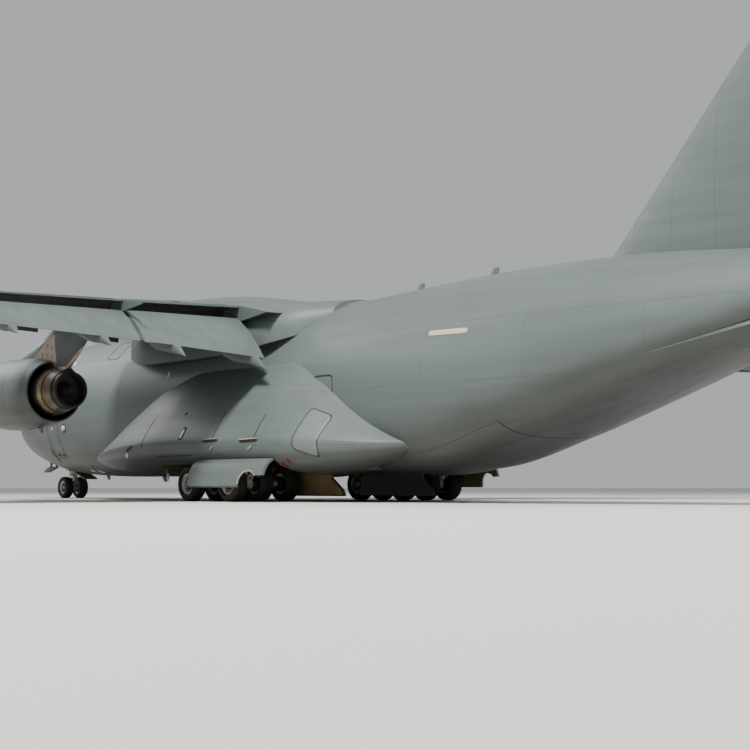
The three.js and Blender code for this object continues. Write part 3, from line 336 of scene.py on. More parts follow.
def copies(shape, count, finish, step=(0, 0, 0), turn=(0, 0, 0), centre=(0, 0, 0)):
    """Copies of a part in a row (step) or round a centre (turn, in radians about one axis)."""
    tree = bpy.data.node_groups.get("copies in a row or ring") or repeat_tree()
    thing = mesh_object("part", shape)
    row = thing.modifiers.new("copies", "NODES")
    row.node_group = tree
    values = {"Count": count, "Step": step, "Turn": turn, "Centre": centre, "Finish": FINISH[finish]}
    for socket in tree.interface.items_tree:
        if socket.in_out == "INPUT" and socket.name in values:
            row[socket.identifier] = values[socket.name]
    return evaluated(thing)


# Camera at floor level behind the port side, and a plain pale studio

CAMERA_PLACE = (17.56, 21.81, 0.25)
CAMERA_AIM = (0.0, 0.0, 2.3)
CAMERA_LENS = 73.8
LIGHTS_AIM = (0, 0, 2)
LIGHTS = (
    # name, watts, size, place, colour
    ("key light", 27000, 8, (20, 13, 32), "fffaf3"),
    ("rim light", 6000, 12, (-20, 24, 22), "f2f6ff"),
    ("front light", 2600, 16, (6, -34, 18), "ffffff"),
)
FLOOR_HEX = "cdccc8"
SKY_HEX = "e6e9ec"


def linear(hex_colour):
    """An sRGB hex colour as a linear one."""
    parts = [int(hex_colour[i:i + 2], 16) / 255 for i in (0, 2, 4)]
    return (*[c / 12.92 if c <= 0.04045 else ((c + 0.055) / 1.055) ** 2.4 for c in parts], 1.0)


def aimed_from(position, target):
    return (Vector(target) - Vector(position)).to_track_quat("-Z", "Y").to_euler()


def camera_and_studio():
    """The camera, three area lights, a pale sky and a plain floor."""
    scene = bpy.context.scene
    camera = bpy.data.objects.new("camera", bpy.data.cameras.new("camera"))
    scene.collection.objects.link(camera)
    camera.location = CAMERA_PLACE
    camera.rotation_euler = aimed_from(CAMERA_PLACE, CAMERA_AIM)
    camera.data.lens = CAMERA_LENS
    camera.data.clip_end = 500
    scene.camera = camera
    for name, watts, size, position, colour in LIGHTS:
        light = bpy.data.objects.new(name, bpy.data.lights.new(name, "AREA"))
        light.data.energy = watts
        light.data.size = size
        light.data.color = linear(colour)[:3]
        light.location = position
        light.rotation_euler = aimed_from(position, LIGHTS_AIM)
        scene.collection.objects.link(light)
    world = bpy.data.worlds.new("studio")
    world.use_nodes = True
    background = world.node_tree.nodes["Background"]
    background.inputs["Color"].default_value = linear(SKY_HEX)
    background.inputs["Strength"].default_value = 0.6
    scene.world = world
    bare = bpy.data.materials.new("studio floor")
    bare.use_nodes = True
    shader = bare.node_tree.nodes["Principled BSDF"]
    shader.inputs["Base Color"].default_value = linear(FLOOR_HEX)
    shader.inputs["Roughness"].default_value = 0.8
    reach = 400
    corners = [(-reach, -reach, 0), (reach, -reach, 0), (reach, reach, 0), (-reach, reach, 0)]
    floor = mesh_object("floor", (np.array(corners, float), [(0, 1, 2, 3)]))
    floor.data.materials.append(bare)


# Finishes. Patterns are in metres of the full-size plane: Object coordinates over the model's scale.


def add_node(tree, kind, links=None, **settings):
    """Adds a node: settings are its properties or, by name, its inputs; links feed inputs from sockets."""
    node = tree.nodes.new(kind)
    for key, value in settings.items():
        name = key.replace("_", " ").title() if not hasattr(node, key) else None
        if name:
            node.inputs[name].default_value = value
        else:
            setattr(node, key, value)
    for key, socket in (links or {}).items():
        tree.links.new(socket, node.inputs[key])
    return node


def new_finish(name, colour, roughness, metallic=0.0):
    """A material with constants on its shader.

    Returns it, its tree, its shader, the full-size coordinates and the node that they come from.
    """
    made = bpy.data.materials.new(name)
    made.use_nodes = True
    tree = made.node_tree
    shader = tree.nodes["Principled BSDF"]
    shader.inputs["Base Color"].default_value = linear(colour)
    shader.inputs["Roughness"].default_value = roughness
    shader.inputs["Metallic"].default_value = metallic
    where = add_node(tree, "ShaderNodeTexCoord")
    full = add_node(tree, "ShaderNodeMapping", {"Vector": where.outputs["Object"]}, scale=(1 / SCALE,) * 3)
    return made, tree, shader, full.outputs[0], where


def mixed(tree, factor, first, second, blend="MIX"):
    """A colour mix; each of the two colours is a socket or a linear colour."""
    node = add_node(tree, "ShaderNodeMix", data_type="RGBA", blend_type=blend, clamp_factor=True)
    for index, value in ((0, factor), (6, first), (7, second)):
        if hasattr(value, "links"):
            tree.links.new(value, node.inputs[index])
        else:
            node.inputs[index].default_value = value
    return node.outputs[2]


def ranged(tree, value, low, high, to_low=0.0, to_high=1.0):
    node = add_node(tree, "ShaderNodeMapRange", {"Value": value})
    for key, number in (("From Min", low), ("From Max", high), ("To Min", to_low), ("To Max", to_high)):
        node.inputs[key].default_value = number
    return node.outputs[0]


def noise(tree, where, scale, detail, roughness=0.5):
    node = add_node(
        tree, "ShaderNodeTexNoise", {"Vector": where}, scale=scale, detail=detail, roughness=roughness)
    return node.outputs["Fac"]


def times(tree, first, second):
    return add_node(tree, "ShaderNodeMath", {0: first, 1: second}, operation="MULTIPLY").outputs[0]


def uneven_gloss(tree, shader, factor, low, high):
    tree.links.new(ranged(tree, factor, 0.3, 0.7, low, high), shader.inputs["Roughness"])


def relief(tree, shader, height, strength, distance):
    bump = add_node(tree, "ShaderNodeBump", {"Height": height}, strength=strength, distance=distance)
    tree.links.new(bump.outputs[0], shader.inputs["Normal"])


# the two coordinates that a brick pattern of skins runs along: length and row
PANEL_WAYS = {"fuselage": (1, 2), "wing": (0, 1)}


def aircraft_paint(name, colour, way="fuselage", panel=(4.3, 1.9), rough=0.44):
    """Satin polyurethane topcoat, sprayed on riveted aluminium skins.

    It has a soft sheen, seams between the skins, faded and streaked areas along the airflow, and a dark
    brown tone on every face that points down: partly oily grime under the fuselage, partly painted shade.
    Real seams are 2 to 3 mm wide; these are drawn 14 mm wide, so that they show.
    """
    made, tree, shader, full, where = new_finish(name, colour, rough)
    split = add_node(tree, "ShaderNodeSeparateXYZ", {"Vector": full})
    u, v = PANEL_WAYS[way]
    flat = add_node(tree, "ShaderNodeCombineXYZ", {"X": split.outputs[u], "Y": split.outputs[v]})
    seams = add_node(
        tree, "ShaderNodeTexBrick", {"Vector": flat.outputs[0]}, scale=1.0, mortar_size=0.014,
        mortar_smooth=0.2, bias=0.0, brick_width=panel[0], row_height=panel[1], offset=0.5)
    seams.inputs["Color1"].default_value = (0.96, 0.96, 0.96, 1)
    seams.inputs["Color2"].default_value = (1.05, 1.05, 1.05, 1)
    seams.inputs["Mortar"].default_value = (0.74, 0.74, 0.74, 1)
    drawn_out = add_node(tree, "ShaderNodeMapping", {"Vector": full}, scale=(0.5, 0.12, 0.5))
    faded = noise(tree, drawn_out.outputs[0], 1.0, 4.0)
    along = add_node(tree, "ShaderNodeMapping", {"Vector": full}, scale=(2.4, 0.16, 2.4))
    streaks = noise(tree, along.outputs[0], 1.0, 6.0)
    specks = noise(tree, full, 7.0, 3.0)
    tone = mixed(tree, 0.9, linear(colour), seams.outputs["Color"], "MULTIPLY")
    fade_colour = ranged(tree, faded, 0.35, 0.65, 0.95, 1.05)
    streak_colour = ranged(tree, streaks, 0.35, 0.7, 1.05, 0.9)
    weathered = times(tree, fade_colour, streak_colour)
    gray = add_node(tree, "ShaderNodeCombineXYZ", {0: weathered, 1: weathered, 2: weathered}).outputs[0]
    tone = mixed(tree, 1.0, tone, gray, "MULTIPLY")
    dirt = ranged(tree, specks, 0.68, 0.78, 0.0, 0.35)
    tone = mixed(tree, dirt, tone, linear("3d403d"))
    # faces that point down are darkened towards dark brown: partly oily grime, partly painted shade
    normal = add_node(tree, "ShaderNodeSeparateXYZ", {"Vector": where.outputs["Normal"]})
    facing_down = ranged(tree, normal.outputs[2], 0.1, -0.85, 0.0, 0.8)
    grime_and_painted_shade = times(tree, facing_down, ranged(tree, streaks, 0.3, 0.7, 0.9, 1.0))
    tone = mixed(tree, grime_and_painted_shade, tone, linear("2f302b"))
    tree.links.new(tone, shader.inputs["Base Color"])
    uneven_gloss(tree, shader, streaks, rough - 0.02, rough + 0.05)
    waves = noise(tree, full, 1.1, 2.0)
    height = add_node(
        tree, "ShaderNodeMath", {0: seams.outputs["Fac"], 2: waves}, operation="MULTIPLY_ADD")
    height.inputs[1].default_value = -0.6
    relief(tree, shader, height.outputs[0], 0.35, 0.006)
    return made


def stained(name, colour, stain, roughness, metallic=0.0, *, scale, amount=0.5, bump=0.0, spread=0.08):
    """A finish with a second tone in soft patches, uneven gloss and, if asked for, a fine relief."""
    made, tree, shader, full, _ = new_finish(name, colour, roughness, metallic)
    patches = noise(tree, full, scale, 6.0, 0.62)
    factor = ranged(tree, patches, 0.4, 0.72, 0.0, amount)
    tree.links.new(mixed(tree, factor, linear(colour), linear(stain)), shader.inputs["Base Color"])
    uneven_gloss(tree, shader, patches, roughness - spread, roughness + spread)
    if bump:
        relief(tree, shader, noise(tree, full, scale * 8, 3.0), 0.4, bump)
    return made


# share of the hot casing's length aft of the fan nozzle, and the colour the heat has left there
HEAT_BANDS = (
    (0.0, "4f493f"), (0.12, "857a68"), (0.2, "b3a68f"), (0.33, "a89c86"), (0.34, "37322b"),
    (0.355, "a0947e"), (0.5, "968a74"), (0.54, "6f5236"), (0.62, "7d6a50"), (0.68, "706a5d"),
    (0.82, "65625a"), (0.84, "302d28"), (1.0, "49453f"),
)
# distances aft of the cowl's lip at which the hot casing starts and ends
HOT_CASING = (4.1, 5.85)


def heat_stained_alloy(name, lip):
    """Nickel alloy sheet of the exhaust casing, spun and welded; heat has stained it in bands of straw,
    brown and grey round the engine."""
    made, tree, shader, full, _ = new_finish(name, "8d7c63", 0.36, 1.0)
    split = add_node(tree, "ShaderNodeSeparateXYZ", {"Vector": full})
    first, last = (lip - MIDDLE_Y + distance for distance in HOT_CASING)
    wander = noise(tree, full, 1.6, 4.0)
    shift = ranged(tree, wander, 0.3, 0.7, -0.05, 0.05)
    spot = add_node(tree, "ShaderNodeMath", {0: split.outputs[1], 1: shift}, operation="ADD").outputs[0]
    bands = add_node(tree, "ShaderNodeValToRGB", {"Fac": ranged(tree, spot, first, last)})
    ramp = bands.color_ramp
    ramp.elements[0].color = linear(HEAT_BANDS[0][1])
    ramp.elements[1].color = linear(HEAT_BANDS[-1][1])
    for share, colour in HEAT_BANDS[1:-1]:
        ramp.elements.new(share).color = linear(colour)
    soot = ranged(tree, wander, 0.45, 0.75, 0.0, 0.45)
    tree.links.new(mixed(tree, soot, bands.outputs[0], linear("35312b")), shader.inputs["Base Color"])
    uneven_gloss(tree, shader, wander, 0.28, 0.46)
    return made


def ground_rubber(name):
    """Moulded tyre rubber: black, dull, greyed by dust on the tread, with a faint mottle."""
    made, tree, shader, full, _ = new_finish(name, "1d1d1d", 0.78)
    dust = noise(tree, full, 6.0, 8.0, 0.7)
    dusty = ranged(tree, dust, 0.45, 0.75, 0.0, 0.4)
    tone = mixed(tree, dusty, linear("191a1a"), linear("4a4742"))
    tree.links.new(tone, shader.inputs["Base Color"])
    uneven_gloss(tree, shader, dust, 0.68, 0.9)
    relief(tree, shader, dust, 0.3, 0.002)
    return made


FINISH = {
    "skin": aircraft_paint("satin grey topcoat on fuselage skins", "5c6767"),
    "wing": aircraft_paint("satin grey topcoat on wing skins", "596464", way="wing", panel=(3.0, 1.6)),
    "cowl": aircraft_paint("satin grey topcoat on engine cowls", "556060", panel=(1.55, 9.0), rough=0.4),
    # composite plates of doors and fairings, painted later, so a little lighter
    "plate": stained("light grey touch-up paint", "667170", "586362", 0.46, scale=1.2),
    # the cove ahead of the flaps: grey paint under soot, grease and shade
    "cove": stained("grimy cove paint", "2c2f2e", "1d1c19", 0.72, scale=2.0, bump=0.002),
    # sealed edges of scoops and doors, worn to a cream undercoat; the same cream paints a highlight on each
    # cowl
    "trim": stained("worn cream undercoat, also painted highlight", "a39b86", "7e786a", 0.5, scale=4.0, amount=0.6),
    # baked primer on formed and riveted frames: dull yellow-green, greasy in the corners
    "primer": stained("yellow-green chromate primer", "6f6c3e", "3c3823", 0.6, scale=1.3, amount=0.7),
    # the same on the inner face of the big gear doors, with more tan in it
    "door_primer": stained("tan epoxy primer", "9a8459", "6d5b3b", 0.58, scale=0.9, amount=0.5),
    "quilt": stained("grey-green insulation quilt", "6d7266", "565a50", 0.85, scale=2.5, bump=0.01),
    # sprayed enamel on forged steel legs: off-white, glossy, with brown hydraulic oil in the recesses
    "enamel": stained("off-white gear enamel", "b3b3aa", "6f6a5c", 0.32, scale=3.5, amount=0.45),
    # ground and plated piston: mirror-like, oily
    "chrome": stained(
        "hard chrome plating", "c9cbcc", "9c9b96", 0.14, 1.0, scale=5.0, amount=0.3, spread=0.05),
    # scorched brake steel; the same dark steel paints the wheel discs as painted shade in their recess
    "steel": stained("scorched brake steel, also painted shade", "5a544c", "332d27", 0.5, 0.9, scale=6.0),
    "rubber": ground_rubber("moulded tyre rubber"),
    # black hose rubber; the same black paints the plugs in the wheel discs as painted shade
    "hose": stained("black hose rubber, also painted shade", "161616", "2a2926", 0.6, scale=8.0),
    "lip": stained("bare rolled aluminium lip", "9a9d9e", "83817b", 0.34, 1.0, scale=2.0, amount=0.4),
    # forged and milled blades: grey metal with a soft sheen and dust on the roots
    "titanium": stained("milled titanium", "70716f", "4d4a45", 0.34, 1.0, scale=3.0),
    # bare sheet on the pylon's underside above the jet
    "shield": stained("bare titanium heat shield", "b0a294", "867867", 0.4, 0.9, scale=1.6, amount=0.6),
    # dark lining of ducts: painted shade in the inlets and fan ducts, soot and painted shade in the nozzles
    "duct": stained("duct lining with soot and painted shade", "2c2b29", "191817", 0.7, scale=2.0),
    "floor": stained("worn aluminium floor", "6d7072", "4d4f50", 0.45, 0.7, scale=2.2, bump=0.001),
    "cabin": stained("dark grey cabin paint", "4a4e4f", "383b3c", 0.6, scale=3.0),
    # coated and heated panes, mirror smooth; near black as painted shade of the flight deck behind them
    "glass": stained("cockpit glass dark as painted shade", "0c1013", "14191c", 0.06, scale=0.6, spread=0.02),
    # electroluminescent strips under clear plastic: cream when unlit
    "strip": stained("cream lamp strip", "c4b78f", "ad9f78", 0.35, scale=2.0, amount=0.4),
    "white": stained("white polyester cap", "cfd0cb", "a9aaa4", 0.35, scale=4.0, amount=0.4),
    "red": stained("red lamp lens", "6f1410", "4f0d0a", 0.16, scale=5.0, spread=0.04),
    "green": stained("green lamp lens", "0f4a26", "0a3119", 0.16, scale=5.0, spread=0.04),
    # black rubber seals; the same black also paints shade in vent openings and a shadow round the sensor
    # dome
    "seal": stained("black rubber seal, also painted shade", "131413", "232321", 0.65, scale=5.0),
    "lens": stained("clear lamp lens", "c6ccce", "a9b0b3", 0.08, scale=4.0, spread=0.03),
}


# Plates and frames on curved surfaces


def raised(surface, u, v, lift):
    """A point off a surface by a height; surface(u, v) gives a point on it and one inside the body."""
    spot, inside = (np.array(p) for p in surface(u, v))
    along, across = (np.array(surface(*at)[0]) - spot for at in ((u + 0.01, v), (u, v + 0.01)))
    normal = np.cross(along, across)
    normal /= np.linalg.norm(normal) or 1.0
    return spot + normal * (lift if normal @ (spot - inside) > 0 else -lift)


# how deep a plate stands in its surface, and the rings of its face as shares of its outline
SINK = 0.015
PLATE_RINGS = (0.97, 0.8, 0.62, 0.45, 0.28, 0.12)


def plate(surface, centre, half, proud, square, hole=0.0, lean=0.0, sides=40):
    """A raised plate on a surface or, with a hole, a frame: round at square 2, nearly a rectangle at 8."""
    if hole:
        steps = ((1.0, -SINK), (1.0, proud), (hole, proud), (hole, -SINK), (1.0, -SINK))
    else:
        steps = ((1.0, -SINK), (1.0, proud * 0.6), *((share, proud) for share in PLATE_RINGS))
    angles = np.arange(sides) * 2 * pi / sides
    reach = (np.abs(np.cos(angles)) ** square + np.abs(np.sin(angles)) ** square) ** (-1 / square)
    outline = [(c * r * half[0], s * r * half[1]) for c, s, r in zip(np.cos(angles), np.sin(angles), reach)]
    rings = []
    for share, lift in steps:
        ring = []
        for u, v in outline:
            ring.append(raised(surface, centre[0] + u * share, centre[1] + (v + lean * u) * share, lift))
        rings.append(ring)
    return solid_loft(rings, capped=not hole)


def plates(surface, *rows):
    """Plates on one surface; a row is centre, half size, height, squareness, hole, lean and sides."""
    return joined(*[plate(surface, *row) for row in rows])


# Fuselage

# station, half width, crown, keel, height of greatest width, squareness of the keel
HULL = np.array([
    (1.6, 0.06, 3.5, 3.38, 3.44, 2.0),
    (1.85, 0.72, 4.1, 2.8, 3.44, 2.0),
    (2.4, 1.3, 4.7, 2.34, 3.46, 2.0),
    (3.2, 1.87, 5.3, 1.96, 3.5, 2.0),
    (4.3, 2.42, 6.0, 1.66, 3.58, 2.1),
    (5.6, 2.84, 6.6, 1.4, 3.66, 2.2),
    (7.2, 3.14, 7.02, 1.17, 3.74, 2.35),
    (9.2, 3.34, 7.24, 1.04, 3.82, 2.5),
    (12.0, 3.43, 7.33, 0.98, 3.9, 2.8),
    (16.0, 3.43, 7.33, 0.98, 3.9, 3.0),
    (29.0, 3.43, 7.33, 0.98, 3.9, 3.0),
    (30.9, 3.43, 7.4, 0.98, 3.9, 3.0),
    (33.6, 3.39, 7.5, 1.12, 3.95, 3.0),
    (37.2, 3.22, 7.58, 1.98, 4.3, 3.0),
    (41.0, 2.84, 7.5, 3.1, 4.8, 2.9),
    (45.2, 2.16, 7.18, 4.38, 5.45, 2.7),
    (48.4, 1.34, 6.76, 5.36, 5.98, 2.4),
    (50.3, 0.3, 6.5, 6.1, 6.28, 2.0),
])
HULL_SIDES = 96


@lru_cache(maxsize=None)
def hull_row(y):
    """A section's sizes at a station, smooth over the root of the distance aft, so the nose is round."""
    knots = np.sqrt(HULL[:, 0] - HULL[0, 0])
    spot = sqrt(max(y - HULL[0, 0], 0))
    return tuple(float(smooth_curve(knots, HULL[:, k], spot)) for k in range(1, 6))


def hull_point(y, angle, inset=0.0):
    wide, crown, keel, middle, square = hull_row(y)
    c, s = cos(angle), sin(angle)
    power = 2 / (square if s < 0 else 2)
    reach = (middle - keel if s < 0 else crown - middle) - inset
    x = np.sign(c) * abs(c) ** power * (wide - inset)
    return x, y, middle + np.sign(s) * abs(s) ** power * reach


def hull_side(y, z):
    """The port side at a station and height, as a surface for plates."""
    _, crown, keel, middle, square = hull_row(y)
    if z > middle:
        angle = asin(min((z - middle) / (crown - middle), 1))
    else:
        angle = -asin(min((middle - z) / (middle - keel), 1) ** (square / 2))
    return hull_point(y, angle), (0, y, middle)


def hull_keel(y, x):
    """The underside at a station and distance from the middle, as a surface for plates."""
    wide, _, _, middle, square = hull_row(y)
    angle = -acos(min(abs(x) / wide, 1) ** (square / 2))
    spot = hull_point(y, angle)
    return (np.copysign(spot[0], x), y, spot[2]), (0, y, middle)


def hull_crown(y, x):
    wide, _, _, middle, _ = hull_row(y)
    return hull_point(y, acos(max(min(x / wide, 1), -1))), (0, y, middle)


def within_hull(x, y, z, inset):
    wide, crown, keel, middle, square = hull_row(min(max(y, NOSE_Y + 0.01), 50.2))
    square, reach = (square, middle - keel) if z < middle else (2, crown - middle)
    return (abs(x) / (wide - inset)) ** square + (abs(z - middle) / (reach - inset)) ** square < 1


def in_cabin(x, y, z):
    """On the skin's inner face, and not on the edges of its openings."""
    return 2.0 < y < 49.8 and within_hull(x, y, z, WALL - 0.02)


def hull_ring(y, inset=0.0):
    return [hull_point(y, 2 * pi * (k + 0.5) / HULL_SIDES, inset) for k in range(HULL_SIDES)]


def stations(start, end, step=0.3):
    if start > NOSE_Y + 1:
        return list(np.linspace(start, end, max(int(round((end - start) / step)), 1) + 1))
    return list(NOSE_Y + np.linspace(sqrt(start - NOSE_Y), sqrt(end - NOSE_Y), int(end / step) + 8) ** 2)


def hull(start, end, inset, step=0.3):
    return solid_loft([hull_ring(y, inset) for y in stations(start, end, step)])


def shell(start, end, hollow_start=None, hollow_end=None, thick=WALL):
    """The fuselage's skin and frames between two stations, open at its ends or closed past the hollow."""
    outer = [hull_ring(y) for y in stations(start, end)]
    inner = [hull_ring(y, thick) for y in stations(hollow_start or start, hollow_end or end)]
    if hollow_start is None and hollow_end is None:
        return solid_loft(outer + inner[::-1] + [outer[0]], capped=False)
    return solid_loft([*outer, *inner[::-1]] if hollow_start else [*outer[::-1], *inner])


# corners (x, z) of the flight-deck windows as seen from ahead, on the port side
WINDOWS = (
    ((0.08, 5.2), (0.9, 5.17), (0.7, 5.74), (0.08, 5.76)),
    ((1.0, 5.16), (1.7, 5.12), (1.36, 5.7), (0.8, 5.74)),
    ((1.82, 5.1), (2.22, 5.08), (1.86, 5.64), (1.48, 5.68)),
    ((2.36, 5.1), (2.58, 5.1), (2.24, 5.6), (2.02, 5.62)),
)
WINDOW_REACH = (2.0, 6.6)
NOSE_BAY = {"half": 0.62, "start": 3.6, "end": 5.9, "roof": 2.2, "wall": 0.1}
CREW_DOOR = {"start": 8.75, "end": 9.65, "low": 1.95, "high": 3.9}
SILL = {"x": 2.8, "z": 1.95, "ears": (8.98, 9.42)}


def in_nose_bay(x, y, z):
    bay, near = NOSE_BAY, PAINT_MARGIN
    if not bay["start"] - near < y < bay["end"] + near:
        return False
    return abs(x) < bay["half"] + near and z < bay["roof"] + near


def window_block(corners, wider=0.0):
    """A block through a window from ahead, wider than it by a share of its size."""
    corners = np.array(corners)
    outline = corners + (corners - corners.mean(axis=0)) * wider
    start, end = WINDOW_REACH[0], WINDOW_REACH[1] + wider
    return arms(outline, end - start, lambda x, z, off: (x, (start + end) / 2 + off, z))


def crew_door_block(inset=0.0):
    door = CREW_DOOR
    return box(
        2.3, 4, door["start"] + inset, door["end"] - inset, door["low"] + inset, door["high"] - inset)


def nose():
    """The nose section with its gear bay and openings, the flight deck's panes and the crew door."""
    bay = NOSE_BAY
    made = shell(NOSE_Y, NOSE_END - GAP, hollow_start=3.2)
    wall = bay["wall"]
    wide = bay["half"] + wall
    housing = box(-wide, wide, bay["start"] - wall, bay["end"] + wall, 0.9, bay["roof"] + wall)
    made = boolean(made, common(housing, hull(NOSE_Y, NOSE_END - GAP, 0.01)), "UNION")
    made = cut(made, box(-bay["half"], bay["half"], bay["start"], bay["end"], 0.5, bay["roof"]))
    for corners in WINDOWS:
        made = cut(made, both_sides(window_block(corners)))
    made = cut(made, crew_door_block())

    def lined(x, y, z):
        return in_cabin(x, y, z) or in_nose_bay(x, y, z)

    piece("nose_skin", made, "skin", stands_for="nose_section", inner=(lined, "primer"))
    spots = stations(3.0, 7.0)
    faces = [hull_ring(y, 0.02) for y in spots], [hull_ring(y, 0.08) for y in spots[::-1]]
    panes = solid_loft([*faces[0], *faces[1], faces[0][0]], capped=False)
    # each pane reaches under the skin around its opening
    glass = [both_sides(common(panes, window_block(corners, 0.08))) for corners in WINDOWS]
    piece("window_panes", joined(*glass), "glass", stands_for="cockpit_glass", slot="cockpit_glass")
    crew_door()


def crew_door():
    """The door folds down on its sill, with the steps of a ladder on its inner face."""
    start, end = CREW_DOOR["start"] + CLEAR, CREW_DOOR["end"] - CLEAR
    x, z = SILL["x"], SILL["z"]
    panel = common(shell(8, 11), crew_door_block(CLEAR))
    lugs = [beam((x, y + 0.01, z), (x - 0.02, y + 0.01, 2.12), 0.06, 0.06) for y in SILL["ears"]]
    step = beam((2.98, start + 0.12, 2.5), (2.98, end - 0.12, 2.5), 0.2, 0.05)
    steps = copies(step, 4, "floor", step=(0.03, 0, 0.34))
    rails = []
    for y in (start + 0.1, end - 0.1):
        rails.append(tube([(2.86, y, 2.2), (2.98, y, 2.9), (3.06, y, 3.7)], 0.025, 10))
    piece("crew_door_panel", joined(panel, *lugs), "skin", "crew_door", "crew_door")
    piece("crew_door_ladder", joined(steps, *rails), "floor", "crew_door", slot="cargo_floor_grey")
    ears = [tube([(x, y - 0.05, z), (x, y + 0.05, z)], 0.035, 12) for y in SILL["ears"]]
    piece("crew_door_hinges", joined(*ears), "steel", slot="gear_enamel")


RAMP_HALF_WIDTH = 2.62
# the cargo door's at its front and rear end
DOOR_HALF_WIDTHS = (2.5, 1.3)
DOOR_EDGE_Z = (3.3, 5.3)
SEAM = {"z": 2.0, "lean": 0.26, "half": 0.0225, "lap": 0.01}
# where the ramp's hinge lugs stand, to each side of the middle
RAMP_LUGS = (-0.9, 0.9)
TREADS = {"start": 31.3, "end": 37.0, "count": 20, "spacing": 0.29, "half": 2.1}


def seam_at(z, offset):
    """The station of the seam between ramp and door, which leans forward so that both can swing."""
    return RAMP_END + offset - SEAM["lean"] * (z - SEAM["z"])


def wedge(ends):
    """A block from the ground up that changes from end to end; an end is half width, height, station(z)."""
    return solid_loft([[(-w, y(0), 0), (w, y(0), 0), (w, y(z), z), (-w, y(z), z)] for w, z, y in ends])


def ramp_opening(inset):
    wide = RAMP_HALF_WIDTH - inset
    seam = -SEAM["half"] if inset else SEAM["lap"]
    return wedge([(wide, 1.75, lambda z: HOLD_END + 1.5 * inset), (wide, 3.3, lambda z: seam_at(z, seam))])


def door_opening(inset):
    first, last = (w - inset for w in DOOR_HALF_WIDTHS)
    seam = SEAM["half"] if inset else -SEAM["lap"]
    return wedge([
        (first, DOOR_EDGE_Z[0], lambda z: seam_at(z, seam)),
        (last, DOOR_EDGE_Z[1], lambda z: DOOR_END - inset),
    ])


# corners of the port strake's middle plane, and (height, share of its outline) across its thickness
STRAKE = ((1.7, 41.7, 4.75), (0.6, 48.0, 5.9), (1.35, 48.0, 5.25), (2.45, 42.3, 4.15))
STRAKE_LAYERS = ((-0.05, 0.97), (-0.03, 1.0), (0.03, 1.0), (0.05, 0.97))


def tail_end():
    """The tail's skin with its strakes, the cargo ramp with its treads, and the cargo door."""
    made = cut(shell(HOLD_END, 50.3, hollow_end=49.6), ramp_opening(0), door_opening(0))
    piece("tail_skin", made, "skin", stands_for="tail_section", inner=(in_cabin, "quilt"))
    outline = np.array(STRAKE)
    middle = outline.mean(axis=0)
    rings = []
    for lift, grow in STRAKE_LAYERS:
        rings.append(middle + (outline - middle) * grow + (0, 0, lift))
    strake = cut(solid_loft(rings), hull(40, 50, 0.05))
    pair("tail_strake", strake, "plate")
    ramp = common(shell(HOLD_END, RAMP_END + 1, thick=0.3), ramp_opening(CLEAR))
    notches = [box(x - 0.1, x + 0.1, HOLD_END, 31.06, 0.8, 1.12) for x in RAMP_LUGS]

    def upper_face(x, y, z):
        return within_hull(x, y, z, 0.2)

    piece(
        "ramp_panel", cut(ramp, *notches), "skin", "cargo_ramp", "cargo_ramp", inner=(upper_face, "floor"))
    half, start, end, spacing = TREADS["half"], TREADS["start"], TREADS["end"], TREADS["spacing"]
    tread = beam((-half, start, 1.42), (half, start, 1.42), 0.06, 0.03)
    slope = 0.86 * (hull_row(end)[2] - hull_row(start)[2]) / (end - start)
    treads = copies(tread, TREADS["count"], "floor", step=(0, spacing, spacing * slope))
    piece("ramp_treads", treads, "floor", "cargo_ramp", slot="cargo_floor_grey")
    door = common(shell(RAMP_END - 1, DOOR_END + 0.5), door_opening(CLEAR))
    lugs = both_sides(box(0.9, 1.02, 45.0, 45.1, 4.42, 4.73))
    piece(
        "cargo_door_panel", joined(door, lugs), "skin", "cargo_door", "cargo_door",
        inner=(in_cabin, "primer"))
    pins = both_sides(tube([(0.87, 45.05, 4.68), (1.7, 45.05, 4.68)], 0.03, 12))
    piece("cargo_door_pins", pins, "steel", slot="gear_enamel")


# inset from the skin and offset along the plane, round a hoop frame's section
HOOP = (
    (WALL - 0.02, -0.05), (WALL - 0.02, 0.05), (WALL + 0.11, 0.05), (WALL + 0.11, -0.05),
    (WALL - 0.02, -0.05),
)
RAIL_PLACES = (-2.0, -1.45, -0.9, -0.3, 0.3, 0.9, 1.45, 2.0)


def hold():
    """The hold's skin, its hoop frames, and the floor with its rails and rollers."""
    lugs = [box(x - 0.08, x + 0.08, HOLD_END - 0.2, 31.02, 1.0, 1.08) for x in RAMP_LUGS]
    skins = joined(shell(NOSE_END, HOLD_END - GAP), *lugs)
    piece("hold_skin", skins, "skin", stands_for="centre_section", inner=(in_cabin, "quilt"))
    hoop = solid_loft([[(x, y, z) for x, _, z in hull_ring(20.0, inset)] for inset, y in HOOP], capped=False)
    hoops = copies(hoop, 20, "primer", step=(0, 0.7, 0), centre=(0, 16.4, 0))
    piece("hold_frames", hoops, "primer", slot="primer_tan")
    slab = box(-3, 3, 8.6, HOLD_END - CLEAR, FLOOR_Z - 0.3, FLOOR_Z - 0.005)
    deck = common(slab, hull(8, 32, WALL + GAP, 1.0))
    piece("hold_deck", deck, "floor", stands_for="cargo_floor", slot="cargo_floor_grey")
    rail = beam((0, 9.2, FLOOR_Z + 0.02), (0, 30.6, FLOOR_Z + 0.02), 0.07, 0.05)
    rails = [moved(rail, x=x) for x in RAIL_PLACES]
    roller = tube([(-0.2, 0, 0), (0.2, 0, 0)], 0.035, 8)
    for x in (-1.72, -0.6, 0.6, 1.72):
        rails.append(copies(roller, 84, "floor", step=(0, 0.25, 0), centre=(x, 9.4, FLOOR_Z + 0.02)))
    piece("deck_rails_and_rollers", joined(*rails), "steel", slot="cargo_floor_grey")


